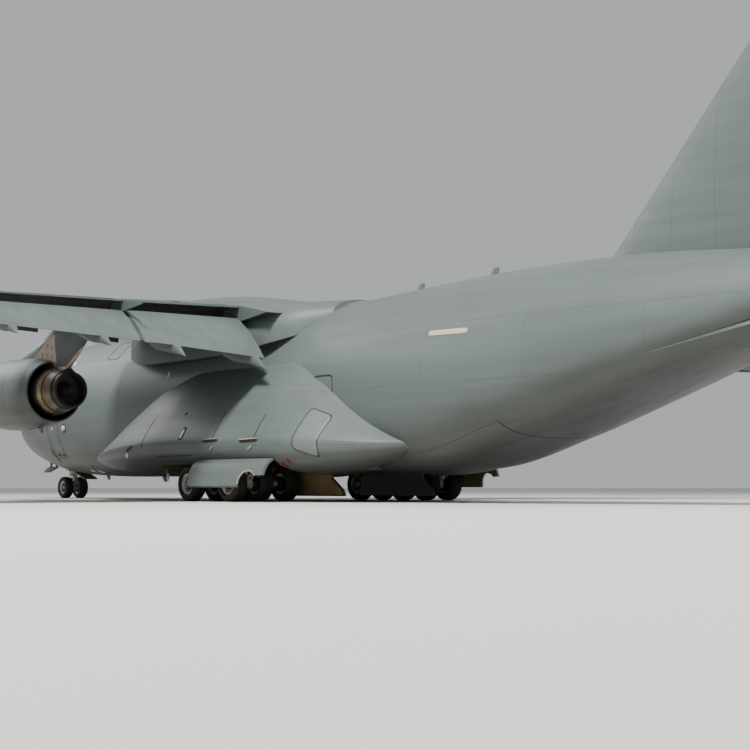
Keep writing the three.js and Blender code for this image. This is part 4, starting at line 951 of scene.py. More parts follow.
def blade_aerial(surface, u, v, length, tall):
    """A swept blade aerial standing on a surface."""
    rings = []
    for share in np.linspace(0, 1, 5):
        back, chord = 0.55 * length * share, length * (1 - 0.45 * share)
        centre = np.array(raised(surface, u, v, tall * share - 0.03))
        ring = []
        for k in range(16):
            c, s = cos(2 * pi * k / 16), sin(2 * pi * k / 16)
            ring.append(centre + (0.035 * (1 - 0.5 * share) * s, back + chord * (0.5 - 0.5 * c), 0))
        rings.append(ring)
    return solid_loft(rings)


SENSOR = {"y": 10.45, "z": 3.1, "radius": 0.13}


def sensor_dome():
    """A round cap on the port side, over a sensor."""
    rings = []
    for share in np.linspace(0, 1, 7)[:-1]:
        radius = SENSOR["radius"] * sqrt(1 - share ** 2)
        ring = []
        for k in range(20):
            at = SENSOR["y"] + radius * cos(2 * pi * k / 20), SENSOR["z"] + radius * sin(2 * pi * k / 20)
            ring.append(raised(hull_side, *at, SENSOR["radius"] * share - 0.01))
        rings.append(ring)
    return solid_loft(rings)


HUMP = {"start": 10.0, "length": 2.6, "half": 0.42, "tall": 0.3}


def aerial_hump():
    """The low hump over the satellite aerial, on the crown behind the flight deck."""
    rings = []
    for share in np.linspace(0, 1, 15):
        y = HUMP["start"] + HUMP["length"] * share
        tall = max(HUMP["tall"] * sin(pi * share) ** 0.6, 0.01)
        half, base = HUMP["half"] * tall / HUMP["tall"], hull_row(y)[1] - 0.06
        rings.append([(half * cos(a), y, base + tall * sin(a)) for a in np.arange(24) * 2 * pi / 24])
    return solid_loft(rings)


def fuselage_fittings():
    """Lamp strips, door outlines, ports, probes, aerials and beacons on the fuselage's skin."""
    pair("lamp_strips", plates(
        hull_side,
        ((9.3, 5.93), (0.86, 0.085), 0.012, 12, 0, 0.1),
        ((35.6, 5.4), (0.9, 0.085), 0.012, 12, 0, -0.02),
    ), "strip")
    pair("hatch_seams", plates(
        hull_side,
        ((29.5, 3.5), (0.56, 0.86), 0.008, 9, 0.95),
        ((26.9, 6.6), (0.45, 0.4), 0.008, 8, 0.94),
        ((13.6, 6.35), (0.5, 0.4), 0.008, 8, 0.94),
    ), "seal")
    middle = (CREW_DOOR["start"] + CREW_DOOR["end"]) / 2, 2.93
    piece("crew_door_frame_line", plate(hull_side, middle, (0.6, 1.12), 0.006, 5, 0.97), "seal")
    piece("crew_door_handle", plate(hull_side, (9.12, 3.43), (0.05, 0.09), 0.015, 3), "seal", "crew_door")
    piece("crew_door_light", plate(hull_side, (9.2, 3.12), (0.05, 0.06), 0.012, 3), "white", "crew_door")
    # dark plates where vents open, as painted shade inside them, and a painted shadow round the sensor dome
    pair("vent_shades_and_sensor_shadow", plates(
        hull_side,
        ((8.35, 1.95), (0.09, 0.27), 0.01, 4, 0, 1.2),
        ((29.5, 3.45), (0.05, 0.07), 0.02, 2),
        # a painted shadow round the sensor dome
        ((SENSOR["y"], SENSOR["z"]), (0.2, 0.2), 0.006, 2),
    ), "seal")
    pair("inspection_caps", plates(
        hull_side,
        ((10.45, 1.24), (0.12, 0.05), 0.012, 6),
        ((11.15, 1.2), (0.12, 0.05), 0.012, 6),
        ((19.1, 4.96), (0.06, 0.13), 0.02, 3),
    ), "white")
    pair("sensor_domes", sensor_dome(), "strip")
    probes = []
    for y, z in ((7.25, 4.03), (7.3, 3.75), (7.35, 3.47), (6.3, 5.42)):
        foot, knee = raised(hull_side, y, z, -0.02), raised(hull_side, y, z, 0.13)
        route = [foot, (foot + knee) / 2, knee, knee + (0, -0.1, 0), knee + (0, -0.3, 0)]
        probes.append(tube(route, [0.03, 0.03, 0.025, 0.022, 0.014], 10))
    pair("air_data_probes", joined(*probes), "steel", slot="gear_enamel")
    aerials = [blade_aerial(hull_crown, y, 0.0, 0.5, 0.34) for y in (9.4, 11.3, 30.4, 34.2)]
    aerials += [blade_aerial(hull_keel, y, 0.001, 0.42, 0.26) for y in (8.2, 13.2, 19.6)]
    piece("blade_aerials", joined(*aerials), "skin")
    piece("satellite_aerial_hump", aerial_hump(), "skin")
    beacons = [
        plate(hull_keel, (17.1, 0.3), (0.13, 0.1), 0.09, 2),
        plate(hull_crown, (13.1, 0.0), (0.13, 0.1), 0.1, 2),
        plate(hull_side, (11.3, 1.42), (0.1, 0.035), 0.015, 3),
    ]
    piece("red_beacons", joined(*beacons), "red")
    wipers = []
    for x, y in ((0.45, 3.05), (1.2, 3.55)):
        foot = np.array(raised(hull_crown, y, x, 0.03))
        tip = np.array(raised(hull_crown, y + 0.27, x + 0.1, 0.03))
        wipers.append(both_sides(tube([foot, (foot + tip) / 2 + (0, 0, 0.03), tip], 0.018, 8)))
    piece("wipers", joined(*wipers), "seal")


# station, half width, top, side bottom of the saddle fairing that carries the wings
SADDLE = np.array([
    (13.2, 0.5, 7.37, 6.8),
    (14.4, 1.9, 7.75, 6.3),
    (16.0, 3.2, 8.1, 5.8),
    (18.0, 3.72, 8.2, 5.4),
    (21.5, 3.72, 8.05, 5.4),
    (24.0, 3.66, 7.65, 5.45),
    (26.0, 3.4, 7.42, 5.7),
    (28.0, 1.9, 7.34, 6.3),
])


def saddle_fairing():
    """The fairing over the fuselage's crown that the wings run into."""
    rings = []
    for y in stations(SADDLE[0, 0], SADDLE[-1, 0], 0.25):
        wide, top, low = (float(smooth_curve(SADDLE[:, 0], SADDLE[:, k], y)) for k in (1, 2, 3))
        ring = []
        for k in range(48):
            c, s = cos(pi * k / 47), max(sin(pi * k / 47), 0)
            ring.append((np.sign(c) * abs(c) ** 0.62 * wide, y, low + (top - low) * s ** 0.62))
        rings.append(ring)
    made = cut(solid_loft(rings), hull(10, 34, 0.03, 1.0))
    piece("wing_saddle", made, "skin", stands_for="wing_fairing")


# Landing-gear pods: station, outer x, bottom, top, height of greatest width
POD = np.array([
    (13.8, 3.5, 1.52, 1.9, 1.72),
    (15.2, 4.15, 1.2, 3.1, 1.86),
    (17.2, 4.78, 1.0, 4.5, 2.0),
    (19.6, 5.25, 0.92, 5.5, 2.1),
    (22.0, 5.42, 0.9, 5.95, 2.15),
    (27.5, 5.42, 0.9, 5.95, 2.15),
    (29.4, 5.1, 0.96, 5.2, 2.1),
    (31.2, 4.4, 1.15, 3.9, 2.05),
    (32.4, 3.72, 1.4, 3.0, 2.0),
    (33.4, 2.9, 1.7, 2.3, 2.0),
])
POD_INNER_X = 1.9
BAY = {"start": 21.6, "end": 28.9, "inner": 1.8, "outer": 5.05, "roof": 2.68, "edge": 1.5, "door": 24.5}
# behind the wheels the pod narrows, and the bay's roof steps down with it
BAY_STEP = {"start": 27.5, "roof": 2.2}


@lru_cache(maxsize=None)
def pod_row(y):
    return tuple(float(smooth_curve(POD[:, 0], POD[:, k], y)) for k in range(1, 5))


def pod_point(y, angle):
    outer, low, top, middle = pod_row(y)
    wide = outer - POD_INNER_X
    c, s = max(cos(angle), 0), sin(angle)
    if s < 0:
        return POD_INNER_X + wide * c ** (2 / 3), y, middle - (middle - low) * (-s) ** (2 / 3)
    return POD_INNER_X + wide * c ** 1.65, y, middle + (top - middle) * s ** 1.65


def pod_side(y, z):
    _, low, top, middle = pod_row(y)
    if z < middle:
        angle = -asin(min((middle - z) / (middle - low), 1) ** 1.5)
    else:
        angle = asin(min((z - middle) / (top - middle), 1) ** (1 / 1.65))
    return pod_point(y, angle), (POD_INNER_X, y, middle)


def in_gear_bay(x, y, z):
    """On the bay's walls and roof, or on the edge that the outer door hangs from."""
    bay, near = BAY, PAINT_MARGIN
    if not bay["start"] - near < y < bay["end"] + near:
        return False
    roof = BAY_STEP["roof"] if y > BAY_STEP["start"] + near else bay["roof"]
    inside = bay["inner"] < x < bay["outer"] + near and z < roof + near
    return inside or (y > bay["door"] and z < bay["edge"] + near)


def gear_pods():
    """The pods' skins with their gear bays, and what is in and on them."""
    angles = [pi / 2 * (k / 32 - 1) for k in range(65)]
    bay = BAY
    body = solid_loft([[pod_point(y, a) for a in angles] for y in stations(POD[0, 0], POD[-1, 0], 0.3)])
    body = cut(
        body,
        hull(12, 35, 0.03, 1.0),
        box(bay["inner"], bay["outer"], bay["start"], BAY_STEP["start"], 0, bay["roof"]),
        box(bay["inner"], bay["outer"], bay["start"], bay["end"], 0, BAY_STEP["roof"]),
        box(bay["inner"], 7, bay["door"], bay["end"], 0, bay["edge"]),
        box(0, RAMP_HALF_WIDTH + 2 * CLEAR, HOLD_END - CLEAR, 35, 0, 4),
    )
    pair("gear_pod_skin", body, "skin", stands_for="gear_pod_SIDE", inner=(in_gear_bay, "primer"))
    gear_bay_frames()
    pod_fittings()


# distance from the middle, height and radius of the pipes in a gear bay
BAY_PIPES = ((3.62, 2.46, 0.03), (3.7, 2.46, 0.02), (3.77, 2.46, 0.02), (4.86, 2.4, 0.03), (4.86, 2.3, 0.02))


def gear_bay_frames():
    """Frames, stringers and pipes inside the gear bay."""
    bay = BAY
    outer, end = bay["outer"], BAY_STEP["start"]
    ribs = []
    for start, roof, count in ((bay["start"] + 0.25, bay["roof"], 10), (end + 0.3, BAY_STEP["roof"], 2)):
        rib = joined(
            box(3.5, outer - 0.01, -0.035, 0.035, roof - 0.14, roof - 0.005),
            box(outer - 0.13, outer - 0.005, -0.035, 0.035, bay["edge"] + 0.02, roof - 0.1),
            box(3.44, 3.54, -0.035, 0.035, 1.9, roof - 0.1),
        )
        ribs.append(copies(rib, count, "primer", step=(0, 0.62, 0), centre=(0, start, 0)))
    roof = bay["roof"]
    stringer = box(0, 0.05, bay["start"] + 0.02, end - 0.02, roof - 0.07, roof - 0.005)
    stringers = copies(stringer, 3, "primer", step=(0.36, 0, 0), centre=(3.72, 0, 0))
    pair("gear_bay_frames", joined(*ribs, stringers), "primer", slot="primer_tan")
    pipes = []
    for x, z, radius in BAY_PIPES:
        route = [
            (x, bay["start"] + 0.05, z), (x, 23.0, z), (x + 0.05, 23.3, z - 0.1),
            (x + 0.05, 25.6, z - 0.1), (x, 25.9, z), (x, end - 0.05, z),
        ]
        pipes.append(tube(route, radius, 8))
    pipes.append(tube([(3.6, 24.9, 2.3), (3.6, 25.3, 2.3)], 0.13, 16))
    pair("gear_bay_pipes", joined(*pipes), "steel", slot="gear_enamel")


POD_PLATES = (
    # name, finish, plates: centre, half size, height, squareness, hole, lean, sides
    # dark plates where vents open: painted shade inside the openings
    ("vent_mouth_shades", "seal", (
        ((27.85, 2.1), (0.5, 0.045), 0.012, 3, 0, 0.02),
        ((25.48, 2.15), (0.5, 0.045), 0.012, 3, 0, 0.02),
        ((23.4, 2.47), (0.13, 0.24), 0.012, 5),
        ((22.85, 3.24), (0.06, 0.06), 0.012, 2),
        ((16.3, 2.5), (0.34, 0.05), 0.012, 3, 0, 0.25),
        ((19.45, 1.98), (0.3, 0.07), 0.012, 3, 0, 0.3),
    )),
    ("scoops", "trim", (
        ((27.85, 2.165), (0.5, 0.016), 0.035, 3, 0, 0.02),
        ((27.95, 1.87), (0.1, 0.03), 0.04, 3, 0, 0.5),
        ((25.48, 2.215), (0.5, 0.016), 0.035, 3, 0, 0.02),
        ((25.58, 1.9), (0.1, 0.03), 0.04, 3, 0, 0.5),
    )),
    ("port_caps", "white", (
        ((23.4, 2.46), (0.07, 0.17), 0.02, 4),
        ((15.3, 1.92), (0.04, 0.04), 0.02, 2),
    )),
    ("red_caps", "red", (
        ((29.45, 1.4), (0.07, 0.06), 0.012, 2),
        ((29.1, 1.28), (0.07, 0.06), 0.012, 2),
    )),
    ("door_plate", "plate", (
        ((30.3, 2.35), (0.44, 0.68), 0.014, 9, 0, -0.35, 64),
    )),
    ("seams", "seal", (
        ((30.3, 2.35), (0.47, 0.71), 0.008, 9, 0.95, -0.35, 64),
        ((25.6, 2.75), (0.014, 0.5), 0.006, 9),
        ((28.15, 2.6), (0.014, 0.42), 0.006, 9),
        ((20.6, 2.6), (0.014, 0.6), 0.006, 9),
        ((22.9, 1.66), (1.25, 0.014), 0.006, 9),
    )),
)


def pod_fittings():
    """Scoops, vents, caps and seams on the pods' skins, and the drain masts under them."""
    for name, finish, rows in POD_PLATES:
        pair(f"pod_{name}", plates(pod_side, *rows), finish)
    mast = tube([(4.7, 21.5, 1.12), (4.7, 21.5, 0.9), (4.72, 21.52, 0.74)], [0.05, 0.045, 0.02], 12)
    pair("pod_drain_mast", mast, "white", slot="gear_enamel")
    cap = tube([(4.7, 21.5, 1.16), (4.7, 21.5, 1.02)], 0.065, 12)
    pair("pod_mast_cap", cap, "red", slot="gear_enamel")
    pair("pod_taxi_lamp", plate(pod_side, (19.2, 1.73), (0.15, 0.09), 0.014, 3, 0, 0.3), "lens")


# Wings

WING_ROOT_X = 2.4
KINK_X = 8.5
TIP_X = 25.05
# the part of the wing's thickness that lies above its chord line
UPPER_SHARE = 0.56


def wing_front(x):
    return 14.4 + 0.53 * x


def wing_back(x):
    return 26.2 + 0.082 * x if x < KINK_X else 26.9 + 0.205 * (x - KINK_X)


def wing_chord(x):
    return wing_back(x) - wing_front(x)


def wing_height(x):
    return 7.28 - 0.052 * x


def wing_thickness(x):
    return 0.15 - 0.04 * min(x / 14, 1)


def section_shape(t):
    """Half thickness at a share of the chord: full at 35%, closing to a thin trailing edge."""
    if t < 0.35:
        return sqrt(max(1 - ((0.35 - t) / 0.35) ** 2, 0))
    return 1 - 0.985 * ((t - 0.35) / 0.65) ** 1.7


def wing_point(x, t, side, lift=0.0):
    """A point of the wing's surface, raised by a share of the chord."""
    chord = wing_chord(x)
    share = UPPER_SHARE if side > 0 else UPPER_SHARE - 1
    z = wing_height(x) - 0.035 * max(0, 1 - x / 20) * t * chord
    z += share * wing_thickness(x) * chord * section_shape(min(t, 1))
    return x, wing_front(x) + t * chord, z + lift * chord


def wing_face(side):
    """The upper (1) or lower (-1) skin as a surface for plates, from a span place and a station."""
    def surface(x, y):
        t = (y - wing_front(x)) / wing_chord(x)
        upper, lower = (wing_point(x, t, way) for way in (1, -1))
        return (upper if side > 0 else lower), (x, y, (upper[2] + lower[2]) / 2)
    return surface


CHORD_SHARES = [(1 - cos(pi * k / 36)) / 2 for k in range(37)]


def wing_ring(x):
    upper = [wing_point(x, t, 1) for t in CHORD_SHARES]
    return upper + [wing_point(x, t, -1) for t in CHORD_SHARES[:0:-1]]


# name, inner and outer end, stations of the hinge fairings
FLAPS = (
    ("inner", 3.93, 9.05, (4.35, 7.75)),
    ("outer", 9.3, 17.0, (10.85, 14.4)),
)
FLAP_SLIP = 0.2
FLAP_ANGLE = radians(35)
FLAP_HINGE_SHARE = 0.735
# share of the chord, side, lift in chords
COVE = (
    (0.715, -1, -0.1),
    (0.715, -1, 0.015),
    (0.724, 1, -0.03),
    (0.76, 1, -0.018),
    (0.83, 1, -0.007),
    (0.833, 1, 0.1),
    (1.05, 1, 0.1),
    (1.05, -1, -0.1),
)
FLAP_NOSE = (
    (0.76, -1, 0.0),
    (0.741, -1, 0.001),
    (0.736, -1, 0.012),
    (0.742, 1, -0.032),
    (0.765, 1, -0.023),
    (0.8, 1, -0.0165),
    (0.838, 1, -0.008),
)


def flap_hinge(x):
    x, y, z = wing_point(x, FLAP_HINGE_SHARE, -1)
    return x, y, z - 0.085 * wing_chord(x)


def span_loft(start, end, outline):
    """A body along the span; its outline's rows are share of the chord, side and lift in chords."""
    rings = []
    for x in np.linspace(start, end, 12):
        rings.append([wing_point(x, t, side, lift) for t, side, lift in outline])
    return solid_loft(rings)


def flap_outline():
    upper = [(t, 1, -0.008 * max(0, (0.95 - t) / 0.112)) for t in (0.86, 0.89, 0.92, 0.95, 0.98, 1.0)]
    lower = [(t, -1, 0.0) for t in (1.0, 0.96, 0.92, 0.88, 0.84, 0.8)]
    return (*FLAP_NOSE, *upper, *lower)


CANOE_HALF_WIDTH = 0.3
# shares of the chord between which a fairing's top sinks to the trailing edge
CANOE_TAIL = (0.88, 0.97)
# share of the chord, depth in chords, half width as a share: the fairing's fixed and moving halves
FIXED_CANOE = (
    (0.5, -0.004, 0.08), (0.54, 0.008, 0.5), (0.58, 0.022, 0.75), (0.66, 0.052, 0.95), (0.716, 0.068, 1.0),
)
MOVING_CANOE = (
    (0.752, 0.073, 1.0), (0.82, 0.078, 1.0), (0.88, 0.072, 0.9), (0.94, 0.058, 0.75), (1.0, 0.034, 0.52),
    (1.06, 0.01, 0.24), (1.09, -0.002, 0.05),
)


def canoe(x, table):
    """One half of a flap hinge's fairing under the wing."""
    table = np.array(table)
    chord = wing_chord(x)
    rings = []
    for t in np.linspace(table[0, 0], table[-1, 0], 16):
        depth, width = (float(smooth_curve(table[:, 0], table[:, k], t)) for k in (1, 2))
        z = wing_point(x, min(t, 1.0), -1)[2]
        rise = np.interp(t, CANOE_TAIL, (0.02, 0.003)) * chord
        ring = []
        for k in range(25):
            c, s = cos(pi * k / 24), sin(pi * k / 24)
            reach = CANOE_HALF_WIDTH * width * abs(c) ** 0.8 * np.sign(c)
            ring.append((x + reach, wing_front(x) + t * chord, z + rise - (depth * chord + rise) * s ** 0.7))
        rings.append(ring)
    return solid_loft(rings)


# inner and outer end of each slat
SLATS = ((3.9, 7.55), (8.85, 13.5), (14.9, 24.4))
# share of the chord and height in chords, round a slat's section
SLAT = (
    (-0.052, -0.062), (-0.058, -0.04), (-0.054, -0.02), (-0.045, -0.006), (-0.028, 0.014),
    (-0.01, 0.032), (0.02, 0.053), (0.05, 0.07), (0.052, 0.064), (0.026, 0.044),
    (0.0, 0.022), (-0.014, 0.002), (-0.024, -0.024), (-0.03, -0.066),
)
# share of the chord and height, along a slat's track
SLAT_TRACK = ((-0.035, -0.08), (0.03, -0.02), (0.08, -0.03))
SLAT_TRACK_SPACING = 2.4


def slats():
    """Drooped leading-edge slats, and the curved tracks that carry them."""
    blades, tracks = [], []
    for start, end in SLATS:
        rings = []
        for x in np.linspace(start, end, 8):
            y, z, chord = wing_front(x), wing_height(x), wing_chord(x)
            thin = 0.62 + 0.38 * wing_thickness(x) / 0.15
            rings.append([(x, y + t * chord, z + depth * chord * thin) for t, depth in SLAT])
        blades.append(solid_loft(rings))
        count = max(2, round((end - start) / SLAT_TRACK_SPACING))
        for k in range(count):
            x = start + (end - start) * (k + 0.5) / count
            y, z, chord = wing_front(x), wing_height(x), wing_chord(x)
            route = [(x, y + t * chord, z + height) for t, height in SLAT_TRACK]
            tracks += [beam(a, b, 0.12, 0.13) for a, b in zip(route, route[1:])]
    return joined(*blades), joined(*tracks)


def hinged(body, start, end, radii, lap=0.0):
    """A body split at a hinge line into its fixed part and a surface with a round nose.

    The fixed part is cut away a lap further at the start.
    """
    start, end, aft = Vector(start), Vector(end), Vector((0, 1, 0))
    along = (end - start).normalized()
    back = (aft - along * along.dot(aft)).normalized()
    over = along.cross(back)

    def region(inset, forward, lap=0.0):
        rings = []
        for point, radius in ((start + along * (inset - lap), radii[0]), (end - along * inset, radii[1])):
            corners = ((-forward * radius, -3), (8, -3), (8, 3), (-forward * radius, 3))
            rings.append([point + back * u + over * v for u, v in corners])
        return solid_loft(rings)

    def nose_roll(inset, grow):
        return tube([start + along * inset, end - along * inset], [r + grow for r in radii], 40)

    fixed = cut(body, region(0, 0.5, lap), nose_roll(0, CLEAR))
    return fixed, joined(common(body, region(CLEAR, 0)), nose_roll(CLEAR, 0))


AILERON = {"start": 17.15, "end": 24.3, "share": 0.74}
WICK_SPACING = 0.85


def symmetric_ring(front, back, thick, spot):
    """A symmetric section's outline; spot places a station at an offset across the section."""
    side = [spot(front + t * (back - front), thick * section_shape(t)) for t in CHORD_SHARES]
    other = [spot(front + t * (back - front), -thick * section_shape(t)) for t in CHORD_SHARES]
    return side + other[:0:-1]


def winglet():
    """The port winglet, which curves up out of the wing's tip."""
    tip, z = TIP_X, wing_height(TIP_X)
    front, back = wing_front(tip), wing_back(tip)
    table = np.array([
        # x, z, front, back, half thickness
        (tip - 0.06, z - 0.06, front + 0.1, back, 0.14),
        (tip + 0.12, z + 0.25, front + 0.45, back + 0.05, 0.12),
        (HALF_SPAN - 0.05, z + 2.65, front + 2.5, back + 0.9, 0.05),
    ])
    rings = []
    for k in np.linspace(0, 2, 13):
        x, z, y0, y1, thick = (float(smooth_curve((0, 1, 2), table[:, j], k)) for j in range(5))
        rings.append(symmetric_ring(y0, y1, thick, lambda y, off, x=x, z=z: (x + off, y, z)))
    return solid_loft(rings)


def in_cove(x, y, z):
    """On the faces of the cove that lie inside the wing's outline."""
    t = (y - wing_front(x)) / wing_chord(x)
    if not (0.714 < t < 0.834 and FLAPS[0][1] - 0.3 < x < FLAPS[1][2] + 0.1):
        return False
    margin = 0.005 * wing_chord(x)
    return wing_point(x, t, -1)[2] + margin < z < wing_point(x, t, 1)[2] - margin


def wings():
    """The wings, with their fairings, slats and winglets, and their flaps and ailerons."""
    body = solid_loft([wing_ring(x) for x in np.linspace(WING_ROOT_X, TIP_X, 40)])
    fairings = []
    for name, start, end, hinges in FLAPS:
        body = cut(body, span_loft(start - FLAP_SLIP, end + CLEAR, COVE))
        flap = [span_loft(start, end, flap_outline())]
        for x in hinges:
            fairings.append(canoe(x, FIXED_CANOE))
            flap.append(canoe(x, MOVING_CANOE))
        flap = turned_about(joined(*flap), flap_hinge(start), flap_hinge(end), -FLAP_ANGLE)
        node = f"flap_{name}_SIDE"
        pair(f"{name}_flap", flap, "wing", node, node)
    ends, radii = [], []
    for x in (AILERON["start"], AILERON["end"]):
        upper, lower = (wing_point(x, AILERON["share"], side) for side in (1, -1))
        ends.append((x, upper[1], (upper[2] + lower[2]) / 2))
        radii.append((upper[2] - lower[2]) / 2 * 0.96)
    body, aileron = hinged(body, *ends, radii)
    pair("aileron_skin", aileron, "wing", "aileron_SIDE", "aileron_SIDE")
    blades, tracks = slats()
    wing = joined(body, *fairings, blades, winglet())
    pair("wing_skin", wing, "wing", stands_for="wing_SIDE", inner=(in_cove, "cove"))
    pair("slat_tracks", tracks, "steel", slot="gear_enamel")
    wing_fittings()


def wing_fittings():
    """Seams of hatches and spoilers, lamps, static wicks and fuel jettison pipes on the wings."""
    under, over = wing_face(-1), wing_face(1)
    ovals = []
    for share, first, last, step in ((0.3, 4.6, 23.4, 1.25), (0.52, 5.2, 22.8, 1.25)):
        for x in np.arange(first, last, step):
            if min(abs(x - engine["x"]) for engine in ENGINES) > 0.55:
                y = wing_front(x) + share * wing_chord(x)
                ovals.append(plate(under, (x, y), (0.3, 0.17), 0.006, 2.4, hole=0.93, lean=0.4, sides=28))
    pair("tank_access_seams", joined(*ovals), "seal")
    spoilers = []
    for start, end in ((4.2, 6.3), (6.4, 8.6), (9.4, 11.8), (11.9, 14.3), (14.4, 16.8)):
        x = (start + end) / 2
        y = wing_front(x) + 0.765 * wing_chord(x)
        slope = (wing_point(end, 0.765, 1)[1] - wing_point(start, 0.765, 1)[1]) / (end - start)
        half = (end - start) / 2, 0.058 * wing_chord(x)
        spoilers.append(plate(over, (x, y), half, 0.007, 16, hole=0.985, lean=slope, sides=64))
    pair("spoiler_seams", joined(*spoilers), "seal")
    lamp_y = wing_front(3.95) + 0.03 * wing_chord(3.95)
    pair("landing_lamps", plate(under, (3.95, lamp_y + 0.25), (0.16, 0.26), 0.02, 2.4), "lens")
    wick = tube([(0, 0, 0), (0, 0.12, -0.005), (0, 0.3, -0.01)], [0.014, 0.01, 0.004], 6)
    x, y, z = wing_point(18.0, 1.0, 1)
    _, next_y, next_z = wing_point(x + WICK_SPACING, 1.0, 1)
    step = (WICK_SPACING, next_y - y, next_z - z)
    wicks = copies(wick, 8, "hose", step=step, centre=(x, y - 0.02, z))
    pair("wing_static_wicks", wicks, "hose", body="aileron_SIDE")
    x = FLAPS[1][2] + 0.07
    y, z = wing_back(x), wing_height(x)
    jettison = tube([(x, y - 0.5, z - 0.1), (x, y + 0.16, z - 0.12)], 0.05, 16)
    pair("fuel_jettison_pipes", jettison, "lip", slot="gear_enamel")
    y, z = wing_front(TIP_X) + 0.16 * wing_chord(TIP_X), wing_height(TIP_X)
    rings = []
    for share in np.linspace(0, 1, 8)[:-1]:
        x, radius = TIP_X - 0.02 + 0.11 * share, sqrt(1 - share ** 2)
        angles = np.arange(20) * 2 * pi / 20
        rings.append([(x, y + 0.24 * radius * cos(a), z + 0.07 * radius * sin(a)) for a in angles])
    lamp = solid_loft(rings)
    piece("tip_lamp_left", lamp, "red")
    piece("tip_lamp_right", mirrored(lamp), "green")


# Engines

ENGINES = (
    {"name": "inner", "x": 8.2, "z": 4.12},
    {"name": "outer", "x": 14.2, "z": 3.74},
)
# from the cowl's lip to the wing's leading edge
ENGINE_AHEAD = 4.25


def lip_y(engine):
    return wing_front(engine["x"]) - ENGINE_AHEAD


# station aft of the lip and height over the axis, along the pylon's lower and upper edges
PYLON_UNDER = ((1.5, 1.2), (4.4, 0.5), (5.6, 0.72), (6.6, 1.35))
PYLON_OVER = ((1.3, 1.34), (2.2, 1.6), (3.4, 1.92))
# the bare heat shield on the pylon: a triangle over the cowl's aft end, and a strip along the lower edge
SHIELD = (
    (3.0, 1.0), (4.3, 1.0), (4.3, 0.2), (8.0, 0.2), (8.0, 2.2), (6.6, 1.46),
    (5.6, 0.86), (5.0, 0.9), (4.95, 2.1), (4.7, 2.1), (3.0, 1.22),
)
SHIELD_CAPS = ((3.9, 1.42), (4.3, 1.4), (4.35, 1.72), (4.72, 1.62), (4.7, 1.3))


def first_at(rows, place):
    """The first column where the second one, which rises, has a value."""
    return float(np.interp(place, [row[1] for row in rows], [row[0] for row in rows]))


def pylon_half(h):
    """The pylon's half width at a height over the engine's axis."""
    return 0.17 + 0.08 * min(max((h - 0.9) / 0.8, 0), 1)


def pylon(engine):
    """The pylon between cowl and wing, split into its painted part and its bare heat shield."""
    x, z, lip = engine["x"], engine["z"], lip_y(engine)
    roots = [wing_point(x, t, -1) for t in (0.045, 0.12, 0.25, 0.4)]
    upper = list(PYLON_OVER) + [(roots[0][1] - lip, roots[0][2] - z + 0.04)]
    lower = list(PYLON_UNDER) + [(roots[3][1] - lip, roots[3][2] - z + 0.04)]
    rings = []
    for h in np.linspace(0.55, upper[-1][1], 30):
        front = first_at((lower[1], lower[0], upper[0]) if h < upper[0][1] else upper, h)
        back = first_at(lower[1:], h)
        half = pylon_half(h)
        ring = []
        for sign in (1, -1):
            shares = np.linspace(0, 1, 25)
            for s in (shares if sign > 0 else shares[::-1][1:-1]):
                width = half * min(1, (4 * s * (1 - s)) ** 0.5 * 1.15)
                ring.append((x + sign * width, lip + front + s * (back - front), z + h))
        rings.append(ring)

    def pylon_face(d, h):
        return (x + pylon_half(h), lip + d, z + h), (x, lip + d, z + h)

    body = solid_loft(rings)
    caps = [plate(pylon_face, at, (0.06, 0.07), 0.01, 2, hole=0.75, sides=20) for at in SHIELD_CAPS]
    corners = [(lip + d, z + h) for d, h in SHIELD]
    cutter = arms(corners, 1.2, lambda v, w, off: (x + off, v, w))
    pair(f"pylon_{engine['name']}", cut(body, cutter), "cowl")
    shield = joined(common(body, cutter), *caps)
    pair(f"pylon_shield_{engine['name']}", shield, "shield", slot="heat_stained_metal")


# profiles of radius and distance aft of the cowl's lip
COWL_OUTSIDE = ((1.13, 0.0), (1.23, 0.1), (1.34, 0.6), (1.39, 1.6), (1.35, 3.1), (1.16, 4.5))
COWL_INSIDE = ((1.1, 4.5), (1.16, 3.0), (1.03, 1.6), (1.04, 0.3), (1.09, 0.06))
LIP_END = 0.3
CORE_OUTSIDE = ((0.6, 1.7), (0.86, 3.0), (0.93, 4.1), (0.89, 4.6), (0.78, 5.2), (0.66, 5.85))
CORE_INSIDE = ((0.59, 5.85), (0.62, 5.2), (0.3, 5.2))
PLUG = ((0.3, 5.2), (0.29, 5.35), (0.2, 5.6), (0.08, 5.85), (0.0, 5.9))
SPINNER = ((0, 0.7), (0.06, 0.715), (0.14, 0.78), (0.24, 0.94), (0.32, 1.2), (0.34, 1.6), (0, 1.6))
COWL_SEAMS = (LIP_END + 0.03, 1.5, 2.85)
EXHAUST_BEADS = (4.7, 5.02, 5.56, 5.8)
FAN_FACE = 1.28
FAN_BLADES = 30
GUIDE_VANES = 24
# sections: a fan blade along and across its chord, a guide vane and the drain mast across and along
BLADE = (
    (-0.16, 0), (-0.1, 0.01), (0, 0.014), (0.1, 0.009),
    (0.16, 0), (0.1, -0.005), (0, -0.008), (-0.1, -0.006),
)
VANE = ((0, 0), (0.02, 0.1), (0.02, 0.3), (0, 0.42), (-0.02, 0.3), (-0.02, 0.1))
MAST = ((0, 0), (0.02, 0.06), (0.02, 0.2), (0, 0.26), (-0.02, 0.2), (-0.02, 0.06))
# distance aft and height over the cowl, round the fin on its shoulder
COWL_STRAKE = ((0.5, -0.03), (0.95, 0.2), (1.35, 0.26), (1.4, -0.03))


